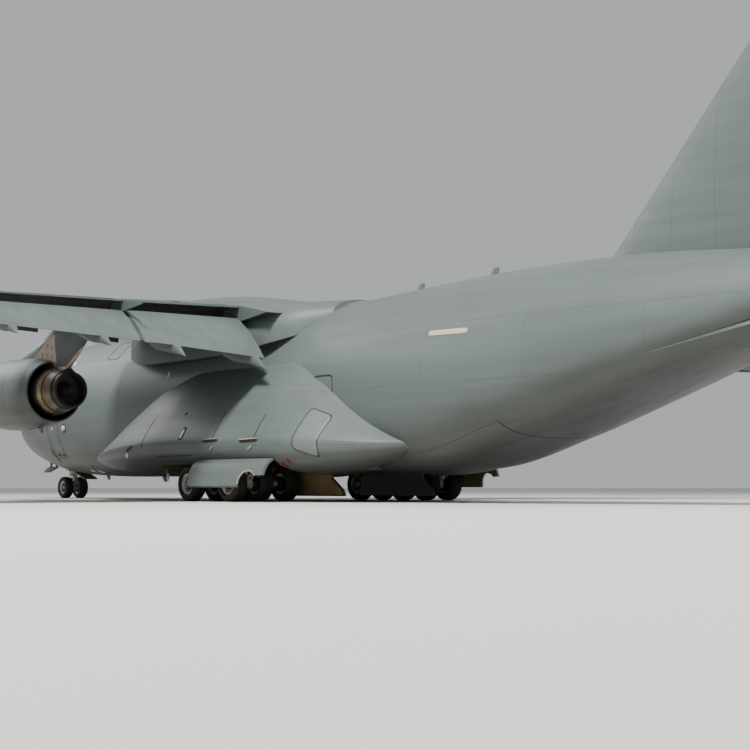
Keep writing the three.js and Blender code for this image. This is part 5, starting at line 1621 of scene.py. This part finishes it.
def fine(profile, count=40):
    """A profile with more points, spaced evenly along a smooth curve."""
    profile = np.array(profile)
    runs = np.concatenate([[0], np.cumsum(np.hypot(*np.diff(profile, axis=0).T))])
    spots = np.linspace(0, runs[-1], count)
    return np.stack([smooth_curve(runs, profile[:, k], spots) for k in (0, 1)], 1)


FINE_COWL = fine(COWL_OUTSIDE, 60)


def cowl_radius(distance):
    return first_at(FINE_COWL, distance)


def cowl_face(distance, angle):
    """The cowl's outer face as a surface for plates, from a distance aft of the lip and an angle."""
    r = cowl_radius(distance)
    return (r * cos(angle), distance, r * sin(angle)), (0, distance, 0)


def ring_band(profile, distance, width, proud):
    """A thin band round a turned body: a seam or a bead."""
    y0, y1 = distance - width / 2, distance + width / 2
    r0, r1 = first_at(profile, y0), first_at(profile, y1)
    return turned([(r0 - 0.012, y0), (r0 + proud, y0), (r1 + proud, y1), (r1 - 0.012, y1)], "y", sides=96)


def fan_blade():
    """A fan blade, which twists and sweeps from its root to its tip."""
    rings = []
    for r in np.linspace(0.28, 0.985, 10):
        pitch = radians(20 + 40 * (r - 0.28) / 0.7)
        sweep = 0.05 * sin(pi * (r - 0.28) / 0.7)
        ring = []
        for u, v in BLADE:
            u += sweep
            y = FAN_FACE + 0.08 + u * cos(pitch) - v * sin(pitch)
            ring.append((u * sin(pitch) + v * cos(pitch), y, r))
        rings.append(ring)
    return solid_loft(rings)


def lip_ring(outside, inside):
    """The bare lip of the cowl, a hair proud of its paint."""
    outside = outside[outside[:, 1] < LIP_END + 0.04] + (0.0015, 0)
    inside = inside[inside[:, 1] < LIP_END + 0.01] - (0.0015, 0)
    return turned(np.concatenate([outside, inside]), "y", sides=128)


def engines():
    """The parts of one engine, made round the lip's centre and set four times, and the pylons."""
    inside, core = fine(COWL_INSIDE, 40), fine(CORE_OUTSIDE)
    cowl = np.concatenate([FINE_COWL, inside])
    blades = copies(fan_blade(), FAN_BLADES, "titanium", turn=(0, 2 * pi / FAN_BLADES, 0))
    vane = solid_loft([[(x, FAN_FACE + 0.62 + y, r) for x, y in VANE] for r in (0.55, 0.8, 1.1)])
    latch = box(-0.05, 0.05, -0.09, 0.09, -0.012, 0.01)
    parts = {
        "cowl": turned(cowl[cowl[:, 1] >= LIP_END], "y", sides=128),
        "lip": lip_ring(FINE_COWL, inside),
        "vanes": copies(vane, GUIDE_VANES, "lip", turn=(0, 2 * pi / GUIDE_VANES, 0)),
        "core": turned(np.concatenate([[(0, 1.7)], core, CORE_INSIDE, PLUG[1:]]), "y", sides=128),
        "spinner": turned(SPINNER, "y"),
        "rotor": joined(blades, tube([(0, 1.5, 0), (0, 1.95, 0)], 0.1)),
        "seams": joined(*[ring_band(FINE_COWL, d, 0.009, 0.002) for d in COWL_SEAMS]),
        "beads": joined(*[ring_band(core, d, 0.035, 0.014) for d in EXHAUST_BEADS]),
        # cream patches on the cowl's upper shoulders near its aft end: a painted highlight
        "highlight_patch": plates(
            cowl_face,
            ((4.3, radians(36)), (0.11, 0.2), 0.008, 6, 0, -0.5),
            ((4.3, radians(144)), (0.11, 0.2), 0.008, 6, 0, 0.5),
        ),
        "latches": joined(
            copies(latch, 5, "lip", step=(0, 0.27, 0), centre=(0, 1.68, -1.392)),
            copies(latch, 4, "lip", step=(0, 0.3, -0.004), centre=(0, 2.98, -1.352)),
        ),
        "mast": solid_loft([
            [(x, 3.3 + 0.1 * h + y, -1.3 - 0.24 * h) for x, y in MAST] for h in (0, 0.5, 1)
        ]),
    }
    for engine in ENGINES:
        set_engine(engine, parts)
        pylon(engine)


def nacelle_strake(angle):
    """A small upright fin on the cowl's shoulder, close behind the lip."""
    rings = []
    for off in (-0.014, 0.014):
        ring = []
        for d, tall in COWL_STRAKE:
            r = cowl_radius(d) + tall
            ring.append((r * cos(angle) - off * sin(angle), d, r * sin(angle) + off * cos(angle)))
        rings.append(ring)
    return solid_loft(rings)


def set_engine(engine, parts):
    """The pieces of an engine, moved to its place on each side."""
    x, y, z, name = engine["x"], lip_y(engine), engine["z"], engine["name"]
    hot = f"hot_{name}"
    FINISH[hot] = heat_stained_alloy(f"heat-stained alloy, {name} engines", y)
    parts = {key: moved(shape, x, y, z) for key, shape in parts.items()}

    # the cowl's inner faces, whose dark lining is painted shade
    def in_duct(px, py, pz):
        return sqrt((px - x) ** 2 + (pz - z) ** 2) < cowl_radius(py - y) - 0.035

    def in_nozzle(px, py, pz):
        # between the nozzle's outer face and its bore, which narrows aft; its dark lining is soot and
        # painted shade
        r = sqrt((px - x) ** 2 + (pz - z) ** 2)
        return py - y > 5.15 and r < 0.625 - 0.05 * (py - y - 5.2)

    node = f"{name}_SIDE"
    pair(f"cowl_{name}", parts["cowl"], "cowl", stands_for=f"nacelle_{node}", inner=(in_duct, "duct"))
    pair(f"cowl_lip_{name}", parts["lip"], "lip")
    pair(f"cowl_seams_{name}", parts["seams"], "seal")
    pair(f"cowl_latches_{name}", parts["latches"], "lip")
    # the cream patches are a painted highlight
    pair(f"cowl_worn_patches_{name}", parts["highlight_patch"], "trim")
    pair(f"exhaust_beads_{name}", parts["beads"], "steel", slot="heat_stained_metal")
    strakes = [moved(nacelle_strake(radians(angle)), x, y, z) for angle in (42, 138)]
    pair(f"cowl_strakes_{name}", joined(*strakes, parts["mast"]), "cowl")
    pair(f"guide_vanes_{name}", parts["vanes"], "lip")
    pair(
        f"exhaust_{name}", parts["core"], hot, stands_for=f"engine_core_{node}", slot="heat_stained_metal",
        inner=(in_nozzle, "duct"))
    pair(f"fan_rotor_{name}", parts["rotor"], "titanium", f"fan_{node}", f"fan_{node}", "fan_titanium")
    pair(f"spinner_{name}", parts["spinner"], "cabin", f"fan_{node}", slot="fan_titanium")


# Tail

STAB = {"z": 16.22, "tip": 9.905, "fall": 0.03}
TAIL_Y = NOSE_Y + LENGTH
RUDDER_SHARE = 0.66
RUDDERS = (
    # name, lower and upper end, and how far the fin is also cut below: nothing of it stands between the two
    ("lower", 8.3, 11.7, 0.0),
    ("upper", 11.75, 15.45, 0.12),
)
ELEVATOR = {"start": 0.75, "end": 9.3, "share": 0.7}
# radius and distance along the bullet fairing on the fin's top
BULLET = ((0, 0), (0.16, 0.25), (0.34, 0.9), (0.5, 2.0), (0.56, 3.3), (0.5, 5.2), (0.32, 7.0), (0, 7.8))
BULLET_START = 46.1
BULLET_Z = HEIGHT - 0.56
TAIL_CAPS = (
    # name, finish, axis, station, height, sides, profile
    ("tail_lamp", "lens", "y", BULLET_START + 7.72, BULLET_Z, 24,
     ((0, -0.02), (0.08, 0.0), (0.075, 0.08), (0.04, 0.14), (0, 0.155))),
    ("fin_beacon", "red", "z", BULLET_START + 3.0, HEIGHT - 0.11, 24,
     ((0, -0.04), (0.11, -0.03), (0.11, 0.06), (0.07, 0.1), (0, 0.11))),
    ("tail_cone_cap", "plate", "y", 50.28, 6.3, 32,
     ((0, -0.02), (0.2, 0.0), (0.17, 0.1), (0.08, 0.16), (0, 0.17))),
)


def fin_front(z):
    return 39.7 + (z - 7.4) * 0.94


def fin_back(z):
    return 48.4 + (z - 7.4) * 0.52


def fin_thickness(z):
    return 0.5 - 0.17 * (z - 7.9) / 8


def fin_side(y, z):
    t = (y - fin_front(z)) / (fin_back(z) - fin_front(z))
    return (fin_thickness(z) * section_shape(t), y, z), (0, y, z)


def stab_front(x):
    return 47.3 + 0.52 * x


def stab_back(x):
    return TAIL_Y + 0.185 * (x - STAB["tip"])


def stab_thickness(x):
    return 0.3 - 0.18 * x / STAB["tip"]


def stab_height(x):
    return STAB["z"] - STAB["fall"] * x


def fin_ring(z):
    return symmetric_ring(fin_front(z), fin_back(z), fin_thickness(z), lambda y, x: (x, y, z))


def stab_ring(x):
    z = stab_height(x)
    return symmetric_ring(stab_front(x), stab_back(x), stab_thickness(x), lambda y, off: (x, y, z + off))


def hinge_on(front, back, share, thick):
    """Station and radius of a surface's round nose, at a share of a section."""
    return front + share * (back - front), thick * section_shape(share) * 0.97


def tail():
    """The fin with its rudders, and the stabilizer with its bullet and elevators."""
    fin = solid_loft([fin_ring(z) for z in np.linspace(6.9, 15.95, 20)])
    for name, low, high, lap in RUDDERS:
        points, radii = [], []
        for z in (low, high):
            y, radius = hinge_on(fin_front(z), fin_back(z), RUDDER_SHARE, fin_thickness(z))
            points.append((0, y, z))
            radii.append(radius)
        fin, rudder = hinged(fin, *points, radii, lap)
        piece(f"rudder_skin_{name}", rudder, "wing", f"rudder_{name}", f"rudder_{name}")
    piece("fin_skin", fin, "wing", stands_for="fin")
    half = solid_loft([stab_ring(x) for x in np.linspace(0, STAB["tip"], 20)])
    points, radii = [], []
    for x in (ELEVATOR["start"], ELEVATOR["end"]):
        y, radius = hinge_on(stab_front(x), stab_back(x), ELEVATOR["share"], stab_thickness(x))
        points.append((x, y, stab_height(x)))
        radii.append(radius)
    half, elevator = hinged(half, *points, radii)
    bullet = turned(fine(BULLET, 48), "y", (0, BULLET_START, BULLET_Z))
    piece("tailplane", joined(both_sides(half), bullet), "wing", stands_for="stabilizer")
    pair("elevator_skin", elevator, "wing", "elevator_SIDE", "elevator_SIDE")
    tail_fittings()


def tail_fittings():
    """Hinge fairings, static wicks, lamps and the cap on the tail cone."""
    fairings = []
    for z in (9.2, 10.9, 12.7, 14.6):
        y = fin_front(z) + RUDDER_SHARE * (fin_back(z) - fin_front(z))
        fairings.append(plate(fin_side, (y - 0.05, z), (0.5, 0.07), 0.05, 2, sides=24))
    pair("rudder_hinge_fairings", joined(*fairings), "plate")
    wick = tube([(0, 0, 0), (0, 0.12, 0), (0, 0.3, -0.005)], [0.014, 0.01, 0.004], 6)
    x, next_x = 4.4, 4.4 + WICK_SPACING
    first = (x, stab_back(x) - 0.02, stab_height(x))
    step = (WICK_SPACING, stab_back(next_x) - stab_back(x), stab_height(next_x) - stab_height(x))
    wicks = copies(wick, 6, "hose", step=step, centre=first)
    pair("elevator_static_wicks", wicks, "hose", body="elevator_SIDE")
    for name, finish, axis, place_y, place_z, sides, profile in TAIL_CAPS:
        piece(name, turned(profile, axis, (0, place_y, place_z), sides), finish)


# Landing gear

MAIN_AXLES = (("front", 23.75), ("rear", 26.4))
MAIN_TYRE = {"radius": 0.635, "width": 0.53, "x": (5.05, 3.92, 2.8)}
NOSE_TYRE = {"radius": 0.508, "width": 0.4, "x": (-0.385, 0.385)}
LEG_X = 4.485
NOSE_AXLE_Y = 5.0

# profiles of a wheel's outer half: shares of the tyre's radius and width
TYRE_SIDE = (
    (0.585, 0.34), (0.6, 0.4), (0.64, 0.445), (0.7, 0.48), (0.705, 0.488),
    (0.72, 0.49), (0.82, 0.5), (0.9, 0.46), (0.955, 0.4), (0.985, 0.32),
)
TYRE_GROOVE = ((0.998, 0.035), (0.975, 0.022), (0.975, -0.022), (1.0, -0.035))
GROOVE_PLACES = (0.24, 0.08)
RIM = ((0.44, 0.2), (0.47, 0.3), (0.52, 0.36), (0.6, 0.385), (0.605, 0.33))
CAP = ((0.0, 0.33), (0.1, 0.325), (0.13, 0.29), (0.14, 0.18))
DISC = ((0.12, 0.2), (0.2, 0.15), (0.32, 0.13), (0.42, 0.16), (0.46, 0.24))


def tyre(size, x, y):
    """A tyre with four grooves round its tread and a bead line on its side."""
    tread = [(share, place + off) for place in GROOVE_PLACES for share, off in TYRE_GROOVE]
    return wheel_turning(size, x, y, [*TYRE_SIDE, *tread], 72)


def wheel_turning(size, x, y, rows, sides=56):
    """A turned part of a wheel from its outer half's profile."""
    r, w = size["radius"], size["width"]
    profile = [(a * r, -b * w) for a, b in rows] + [(a * r, b * w) for a, b in rows[::-1]]
    return turned(profile, "x", (x, y, r), sides)


def hub(size, x, y):
    """A split wheel: light rim and cap, dished disc, bolts, and dark plugs in the disc as painted shade."""
    r, w = size["radius"], size["width"]
    rim = wheel_turning(size, x, y, RIM)
    cap = wheel_turning(size, x, y, CAP, 32)
    disc = wheel_turning(size, x, y, DISC)
    bolt = tube([(-0.19 * w, 0, 0.39 * r), (0.19 * w, 0, 0.39 * r)], 0.035 * r, 6)
    bolts = copies(bolt, 12, "enamel", turn=(2 * pi / 12, 0, 0), centre=(x, y, r))
    # dark plugs in the disc, one in each hole: painted shade
    hole = tube([(-0.155 * w, 0, 0.28 * r), (0.155 * w, 0, 0.28 * r)], 0.05 * r, 16)
    hole_shades = copies(hole, 8, "hose", turn=(2 * pi / 8, 0, 0), centre=(x, y, r))
    return {"rims": joined(rim, cap, bolts), "discs": disc, "hole_shades": hole_shades}


def wheel_set(name, size, y, reach, body):
    """Tyres, rims, discs and their axle, which all spin together; the dark discs are painted shade."""
    sets = [hub(size, x, y) for x in size["x"]]
    axle = tube([(reach[0], y, size["radius"]), (reach[1], y, size["radius"])], 0.083, 24)
    made = {
        "tyres": (joined(*[tyre(size, x, y) for x in size["x"]]), "rubber", "tyre_rubber"),
        "rims": (joined(axle, *[s["rims"] for s in sets]), "enamel", "gear_enamel"),
        # the disc is dark as painted shade in the wheel's recess
        "wheel_discs_in_painted_shade": (joined(*[s["discs"] for s in sets]), "steel", "gear_enamel"),
        "wheel_hole_shades": (joined(*[s["hole_shades"] for s in sets]), "hose", "gear_enamel"),
    }
    for kind, (shape, finish, slot) in made.items():
        stands = body if kind == "tyres" else None
        if "SIDE" in body:
            pair(f"{name}_{kind}", shape, finish, body, stands, slot)
        else:
            piece(f"{name}_{kind}", shape, finish, body, stands or (), slot)


def torque_link(x, y0, z0, knee_y, knee_z, half):
    """One arm of a torque link: a forked plate from its root to the knee."""
    prongs = []
    for reach in (-half, half):
        root, tip = (x + reach, y0, z0), (x + reach * 0.45, knee_y, knee_z)
        prongs.append(beam(root, tip, 0.045, 0.1, up=(1, 0, 0.01)))
    fork = (x, y0 + (knee_y - y0) * 0.55, z0 + (knee_z - z0) * 0.55)
    web = beam(fork, (x, knee_y, knee_z), half * 1.1, 0.04, up=(0, 1, 0.6))
    pins = [
        tube([(x - half * 1.35, y0, z0), (x + half * 1.35, y0, z0)], 0.045, 14),
        tube([(x - half * 0.7, knee_y, knee_z), (x + half * 0.7, knee_y, knee_z)], 0.04, 14),
    ]
    return joined(*prongs, web, *pins)


# steps of the gears' rods, as share of the way and radius
TRUNNION = (
    (0, 0.1), (0.01, 0.13), (0.04, 0.13), (0.05, 0.11), (0.45, 0.11), (0.46, 0.13),
    (0.54, 0.13), (0.55, 0.11), (0.95, 0.11), (0.96, 0.13), (0.99, 0.13), (1, 0.1),
)
MAIN_OLEO = (
    (0, 0.16), (0.02, 0.2), (0.13, 0.2), (0.15, 0.18), (0.34, 0.18), (0.36, 0.2),
    (0.44, 0.2), (0.46, 0.178), (0.84, 0.178), (0.86, 0.21), (0.96, 0.21), (1, 0.185),
)
MAIN_AXLE_SLEEVE = (
    (0, 0.13), (0.08, 0.17), (0.3, 0.17), (0.36, 0.15), (0.64, 0.15), (0.7, 0.17), (0.92, 0.17), (1, 0.13),
)
SIDE_BRACE = (
    (0.1, 0.1), (0.16, 0.075), (0.5, 0.07), (0.52, 0.085), (0.6, 0.085), (0.62, 0.055), (1, 0.055),
)
BRAKE_STACK = (
    (0, 0.2), (0.04, 0.26), (0.2, 0.26), (0.22, 0.245), (0.4, 0.245), (0.42, 0.26),
    (0.6, 0.26), (0.62, 0.245), (0.8, 0.245), (0.82, 0.26), (0.96, 0.26), (1, 0.2),
)
# how far two brake hoses spread, their distance ahead of the leg, and height
HOSES = (
    (1, 0.19, 2.3), (1, 0.22, 1.9), (1, 0.24, 1.35), (2.2, 0.29, 1.05), (4, 0.22, 0.84), (4.4, 0.05, 0.86),
)
NOSE_OLEO = (
    (0, 0.15), (0.03, 0.18), (0.2, 0.18), (0.22, 0.16), (0.36, 0.16), (0.38, 0.18),
    (0.46, 0.18), (0.48, 0.155), (0.86, 0.155), (0.88, 0.18), (1, 0.18),
)
DRAG_BRACE = (
    (0.08, 0.08), (0.14, 0.05), (0.5, 0.05), (0.52, 0.075), (0.6, 0.075), (0.62, 0.05), (1, 0.05),
)
CROSS_SHAFT = (
    (0, 0.07), (0.03, 0.09), (0.2, 0.09), (0.24, 0.07), (0.76, 0.07), (0.8, 0.09), (0.97, 0.09), (1, 0.07),
)
STEERING_JACK = ((0, 0.06), (0.1, 0.075), (0.9, 0.075), (1, 0.05))
STEERING_COLLAR = ((0, 0.17), (0.1, 0.2), (0.45, 0.2), (0.5, 0.185), (0.9, 0.2), (1, 0.16))
NOSE_AXLE_SLEEVE = ((0, 0.12), (0.15, 0.15), (0.85, 0.15), (1, 0.12))
LAMP_HOUSING = ((0, 0.05), (0.1, 0.075), (1, 0.06))


def main_gear():
    """Two oleo legs to a side on one trunnion beam, each with an axle, brakes, braces, links and hoses."""
    x, axle_z, roof = LEG_X, MAIN_TYRE["radius"], BAY["roof"] - 0.002
    y0, y1 = MAIN_AXLES[0][1], MAIN_AXLES[1][1]
    steel_work = [stepped_rod((x, y0 - 0.3, 2.45), (x, y1 + 0.3, 2.45), TRUNNION)]
    chrome, brakes, hoses = [], [], []
    for _, y in MAIN_AXLES:
        steel_work += [
            stepped_rod((x, y, roof), (x, y, 1.16), MAIN_OLEO, 32),
            stepped_rod((x, y, 0.96), (x, y, axle_z), ((0, 0.13), (0.15, 0.15), (1, 0.15))),
            stepped_rod((x - 0.24, y, axle_z), (x + 0.24, y, axle_z), MAIN_AXLE_SLEEVE),
            stepped_rod((x, y, 1.5), (x - 0.9, y - 0.5, roof - 0.1), SIDE_BRACE, 16),
            beam((x - 0.88, y - 0.62, roof - 0.1), (x - 0.88, y - 0.38, roof - 0.1), 0.22, 0.19),
            tube([(x - 0.22, y, 1.5), (x + 0.22, y, 1.5)], 0.07, 16),
            torque_link(x, y + 0.18, 1.26, y + 0.44, 1.0, 0.1),
            torque_link(x, y + 0.15, 0.74, y + 0.44, 1.0, 0.1),
            stepped_rod(
                (x - 0.16, y + 0.12, 1.75), (x - 0.62, y + 0.34, roof - 0.12),
                ((0.35, 0.05), (0.37, 0.08), (0.97, 0.08), (1, 0.05)), 16),
            tube([(x + 0.17, y - 0.1, 1.95), (x + 0.3, y - 0.2, 2.5)], 0.035, 10),
        ]
        chrome += [
            stepped_rod((x, y, 1.2), (x, y, 0.92), ((0, 0.12), (1, 0.12)), 32),
            tube([(x - 0.16, y + 0.12, 1.75), (x - 0.35, y + 0.21, 2.08)], 0.035, 12),
        ]
        for start in (x + 0.2, x - 0.38, MAIN_TYRE["x"][2] + 0.19):
            brakes.append(stepped_rod((start, y, axle_z), (start + 0.18, y, axle_z), BRAKE_STACK, 32))
        for off in (-0.05, 0.05):
            hoses.append(tube([(x + spread * off, y - ahead, z) for spread, ahead, z in HOSES], 0.016, 8))
    pair("main_gear_legs", joined(*steel_work), "enamel", stands_for="main_gear_SIDE", slot="gear_enamel")
    pair("main_gear_pistons", joined(*chrome), "chrome", slot="gear_enamel")
    pair("main_gear_brakes", joined(*brakes), "steel", slot="gear_enamel")
    pair("main_gear_hoses", joined(*hoses), "hose", slot="gear_enamel")
    for row, y in MAIN_AXLES:
        reach = MAIN_TYRE["x"][2] - 0.15, MAIN_TYRE["x"][0] + 0.15
        wheel_set(f"main_{row}", MAIN_TYRE, y, reach, f"main_wheels_{row}_SIDE")


def nose_gear():
    """The nose leg and its braces stand still; the fork with piston, links and wheels steers."""
    y, roof, axle_z = NOSE_AXLE_Y, NOSE_BAY["roof"] - 0.002, NOSE_TYRE["radius"]
    work = [
        stepped_rod((0, y, roof), (0, y, 1.23), NOSE_OLEO, 32),
        stepped_rod((0, y, 1.35), (0, y - 1.0, roof - 0.08), DRAG_BRACE, 16),
        beam((0, y - 1.15, roof - 0.09), (0, y - 0.85, roof - 0.09), 0.3, 0.17),
        stepped_rod((-0.42, y, 1.8), (0.42, y, 1.8), CROSS_SHAFT, 20),
        tube([(-0.26, y, 1.45), (0.26, y, 1.45)], 0.06, 16),
        tube([(-0.2, y + 0.05, 1.45), (-0.2, y + 0.72, 1.3)], 0.028, 10),
        tube([(0.2, y + 0.05, 1.45), (0.2, y + 0.72, 1.3)], 0.028, 10),
        beam((-0.2, y - 0.18, 1.52), (0.2, y - 0.18, 1.52), 0.05, 0.07),
    ]
    for x in (-0.24, 0.24):
        work.append(stepped_rod((x, y - 0.14, 1.36), (x, y + 0.16, 1.36), STEERING_JACK, 16))
    piece("nose_leg_work", joined(*work), "enamel", stands_for="nose_leg", slot="gear_enamel")
    lamps = [stepped_rod((x, y - 0.25, 1.54), (x, y - 0.16, 1.54), LAMP_HOUSING) for x in (-0.16, 0.16)]
    piece("nose_leg_lamps", joined(*lamps), "lens", slot="gear_enamel")
    rear_nose_door()
    fork = [
        stepped_rod((0, y, 1.21), (0, y, 1.07), STEERING_COLLAR, 28),
        stepped_rod((0, y, 0.72), (0, y, axle_z), ((0, 0.11), (0.2, 0.14), (1, 0.15))),
        stepped_rod((-0.15, y, axle_z), (0.15, y, axle_z), NOSE_AXLE_SLEEVE),
        torque_link(0, y + 0.18, 1.1, y + 0.34, 0.88, 0.075),
        torque_link(0, y + 0.14, 0.64, y + 0.34, 0.88, 0.075),
        beam((0, y - 0.08, 0.51), (0, y - 0.3, 0.51), 0.12, 0.1),
        tube([(-0.09, y - 0.26, 0.51), (0.09, y - 0.26, 0.51)], 0.035, 12),
    ]
    piece("nose_fork_work", joined(*fork), "enamel", "nose_steering", "nose_fork", "gear_enamel")
    piston = stepped_rod((0, y, 1.65), (0, y, 0.68), ((0, 0.1), (1, 0.1)), 28)
    piece("nose_piston", piston, "chrome", "nose_steering", slot="gear_enamel")
    hose = tube([(0.17, y + 0.04, 1.6), (0.2, y + 0.06, 1.4), (0.19, y + 0.03, 1.26)], 0.016, 8)
    piece("nose_hose", both_sides(hose), "hose", slot="gear_enamel")
    wheel_set("nose", NOSE_TYRE, y, (-0.48, 0.48), "nose_wheels")
    side_nose_doors()


# station and height round the door behind the nose leg; station and reach round the ones beside it
REAR_NOSE_DOOR = ((5.5, 1.36), (6.05, 1.175), (6.75, 0.94), (6.74, 0.89), (6.05, 1.125), (5.5, 1.3))
NOSE_DOOR = ((3.62, 0), (3.64, 0.16), (3.72, 0.34), (3.95, 0.5), (4.55, 0.5), (4.62, 0))
NOSE_DOOR_HINGE = {"x": NOSE_BAY["half"] - 0.05, "z": 1.5}


def rear_nose_door():
    """The door behind the nose leg, with its ribs."""
    panel = arms(REAR_NOSE_DOOR, 0.72, lambda v, z, off: (off, v, z))

    def inner_face(x, y, z):
        return z > 1.345 - 0.336 * (y - 5.5)

    piece("rear_nose_door", panel, "skin", inner=(inner_face, "primer"))
    rib = beam((-0.33, 5.62, 1.325), (0.33, 5.62, 1.325), 0.05, 0.06)
    ribs = copies(rib, 5, "primer", step=(0, 0.24, -0.0806))
    piece("rear_nose_door_ribs", ribs, "primer", slot="primer_tan")


def side_nose_doors():
    """The two doors that hang out beside the nose leg, each on two lugs."""
    door_x, door_z = NOSE_DOOR_HINGE["x"], NOSE_DOOR_HINGE["z"]

    def spot(v, reach, lift):
        lift -= 0.02
        return door_x + reach * 0.86 + lift * 0.5, v, door_z - reach * 0.5 + lift * 0.86

    door = cut(arms(NOSE_DOOR, 0.04, spot), hull(2, 8, -GAP))
    lugs = [beam((door_x, y, 1.44), (door_x, y, 1.95), 0.09, 0.1, up=(0, 1, 0)) for y in (3.85, 4.4)]

    def inner_face(x, y, z):
        return door_z > z > 1.488 - 0.581 * (x - door_x)

    pair(
        "nose_door_panel", joined(door, *lugs), "skin", stands_for="nose_door_SIDE",
        inner=(inner_face, "primer"))


# The pod's outer door, swung out, as x and z from its hinge to its free edge; and the inner door
OUTER_DOOR = ((5.27, 1.495), (5.44, 1.4), (5.58, 1.22), (5.7, 0.94), (5.77, 0.56))
INNER_DOOR = ((24.7, 1.7), (24.7, 0.2), (29.05, 0.2), (28.95, 0.42), (28.35, 0.86), (28.35, 1.7))
INNER_DOOR_SEAL = ((24.72, 0.95), (24.72, 0.22), (29.0, 0.22), (28.92, 0.42), (28.33, 0.86))
INNER_DOOR_X = 2.1
DOOR_THICKNESS = 0.07
ARCH = {"y": 28.15, "z": 0.62, "radius": 0.46}


def outer_door_x(z, y=BAY["door"]):
    """The door's outer face, which draws in aft as the pod does."""
    rows = np.array(OUTER_DOOR)[::-1]
    x = float(smooth_curve(rows[:, 1], rows[:, 0], min(max(z, rows[0, 1]), rows[-1, 1])))
    return x + pod_row(y)[0] - pod_row(BAY["door"])[0]


def gear_doors():
    """The pods' doors: an outer one that hangs from the bay's edge, and an inner one beside the wheels."""
    y0, y1 = BAY["door"] + CLEAR, BAY["end"] - CLEAR
    heights = np.linspace(OUTER_DOOR[0][1], OUTER_DOOR[-1][1], 16)
    outer = [(outer_door_x(z), z) for z in heights]
    inside = [(x - DOOR_THICKNESS, z - 0.8 * DOOR_THICKNESS) for x, z in outer]
    rings = []
    for y in stations(y0, y1, 0.15):
        draw_in = outer_door_x(1.0, y) - outer_door_x(1.0)
        rings.append([(x + draw_in, y, z) for x, z in outer + inside[::-1]])
    panel = solid_loft(rings)
    arch = tube([(5, ARCH["y"], ARCH["z"]), (6.2, ARCH["y"], ARCH["z"])], ARCH["radius"], 48)
    foot = box(5, 6.2, ARCH["y"] - ARCH["radius"], ARCH["y"] + ARCH["radius"], 0.2, ARCH["z"])
    corner = box(5, 6.2, ARCH["y"] + 0.77 * ARCH["radius"], y1 + 1, 0.2, ARCH["z"] + 0.64 * ARCH["radius"])
    panel = cut(panel, arch, foot, corner)
    hinge_arms = [beam((4.9, y, 1.4), (5.3, y, 1.4), 0.2, 0.12) for y in (25.5, 27.7)]

    def inner_face(x, y, z):
        return x < outer_door_x(z + 0.8 * DOOR_THICKNESS, y) - 0.05 and y0 + 0.005 < y < y1 - 0.005

    pair(
        "outer_gear_door", joined(panel, *hinge_arms), "skin", stands_for="pod_outer_door_SIDE",
        inner=(inner_face, "primer"))
    rib_line = inside[2:-2]
    rib_edge = [(x - 0.06, z - 0.05) for x, z in rib_line[::-1]]
    rib = arms([*rib_line, *rib_edge], 0.05, lambda x, z, off: (x, off, z))
    ribs = copies(rib, 6, "primer", step=(0, 0.5, 0), centre=(0, y0 + 0.25, 0))
    pair("outer_gear_door_ribs", ribs, "primer", slot="primer_tan")
    route = []
    for k in range(17):
        angle = pi * (1 - 0.78 * k / 16)
        y, z = ARCH["y"] + ARCH["radius"] * cos(angle), ARCH["z"] + ARCH["radius"] * sin(angle)
        route.append((outer_door_x(z, y) - 0.03, y, z))
    pair("outer_gear_door_rim", tube(route, 0.032, 10), "trim")

    def face(y, z, off):
        return INNER_DOOR_X - (1.2 - z) * 0.08 + DOOR_THICKNESS / 2 + off, y, z

    panel = cut(arms(INNER_DOOR, DOOR_THICKNESS, face), hull(16, 34, -GAP))

    def wheel_side(x, y, z):
        return x > face(y, z, DOOR_THICKNESS / 2 - 0.01)[0]

    pair(
        "inner_gear_door", panel, "skin", stands_for="pod_inner_door_SIDE", slot="primer_tan",
        inner=(wheel_side, "door_primer"))
    edge = [face(y, z, 0.036) for y, z in INNER_DOOR_SEAL]
    seal = joined(*[beam(a, b, 0.03, 0.05) for a, b in zip(edge, edge[1:])])
    pair("inner_gear_door_seal", seal, "seal", slot="primer_tan")


def repaint(finish, *names):
    """A better finish on CAD nodes that keep their shape."""
    for name in names:
        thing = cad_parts[name]
        thing.data.materials.clear()
        thing.data.materials.append(FINISH[finish])


camera_and_studio()
nose()
hold()
tail_end()
saddle_fairing()
gear_pods()
fuselage_fittings()
wings()
engines()
tail()
main_gear()
nose_gear()
gear_doors()
repaint("cabin", "flight_deck")
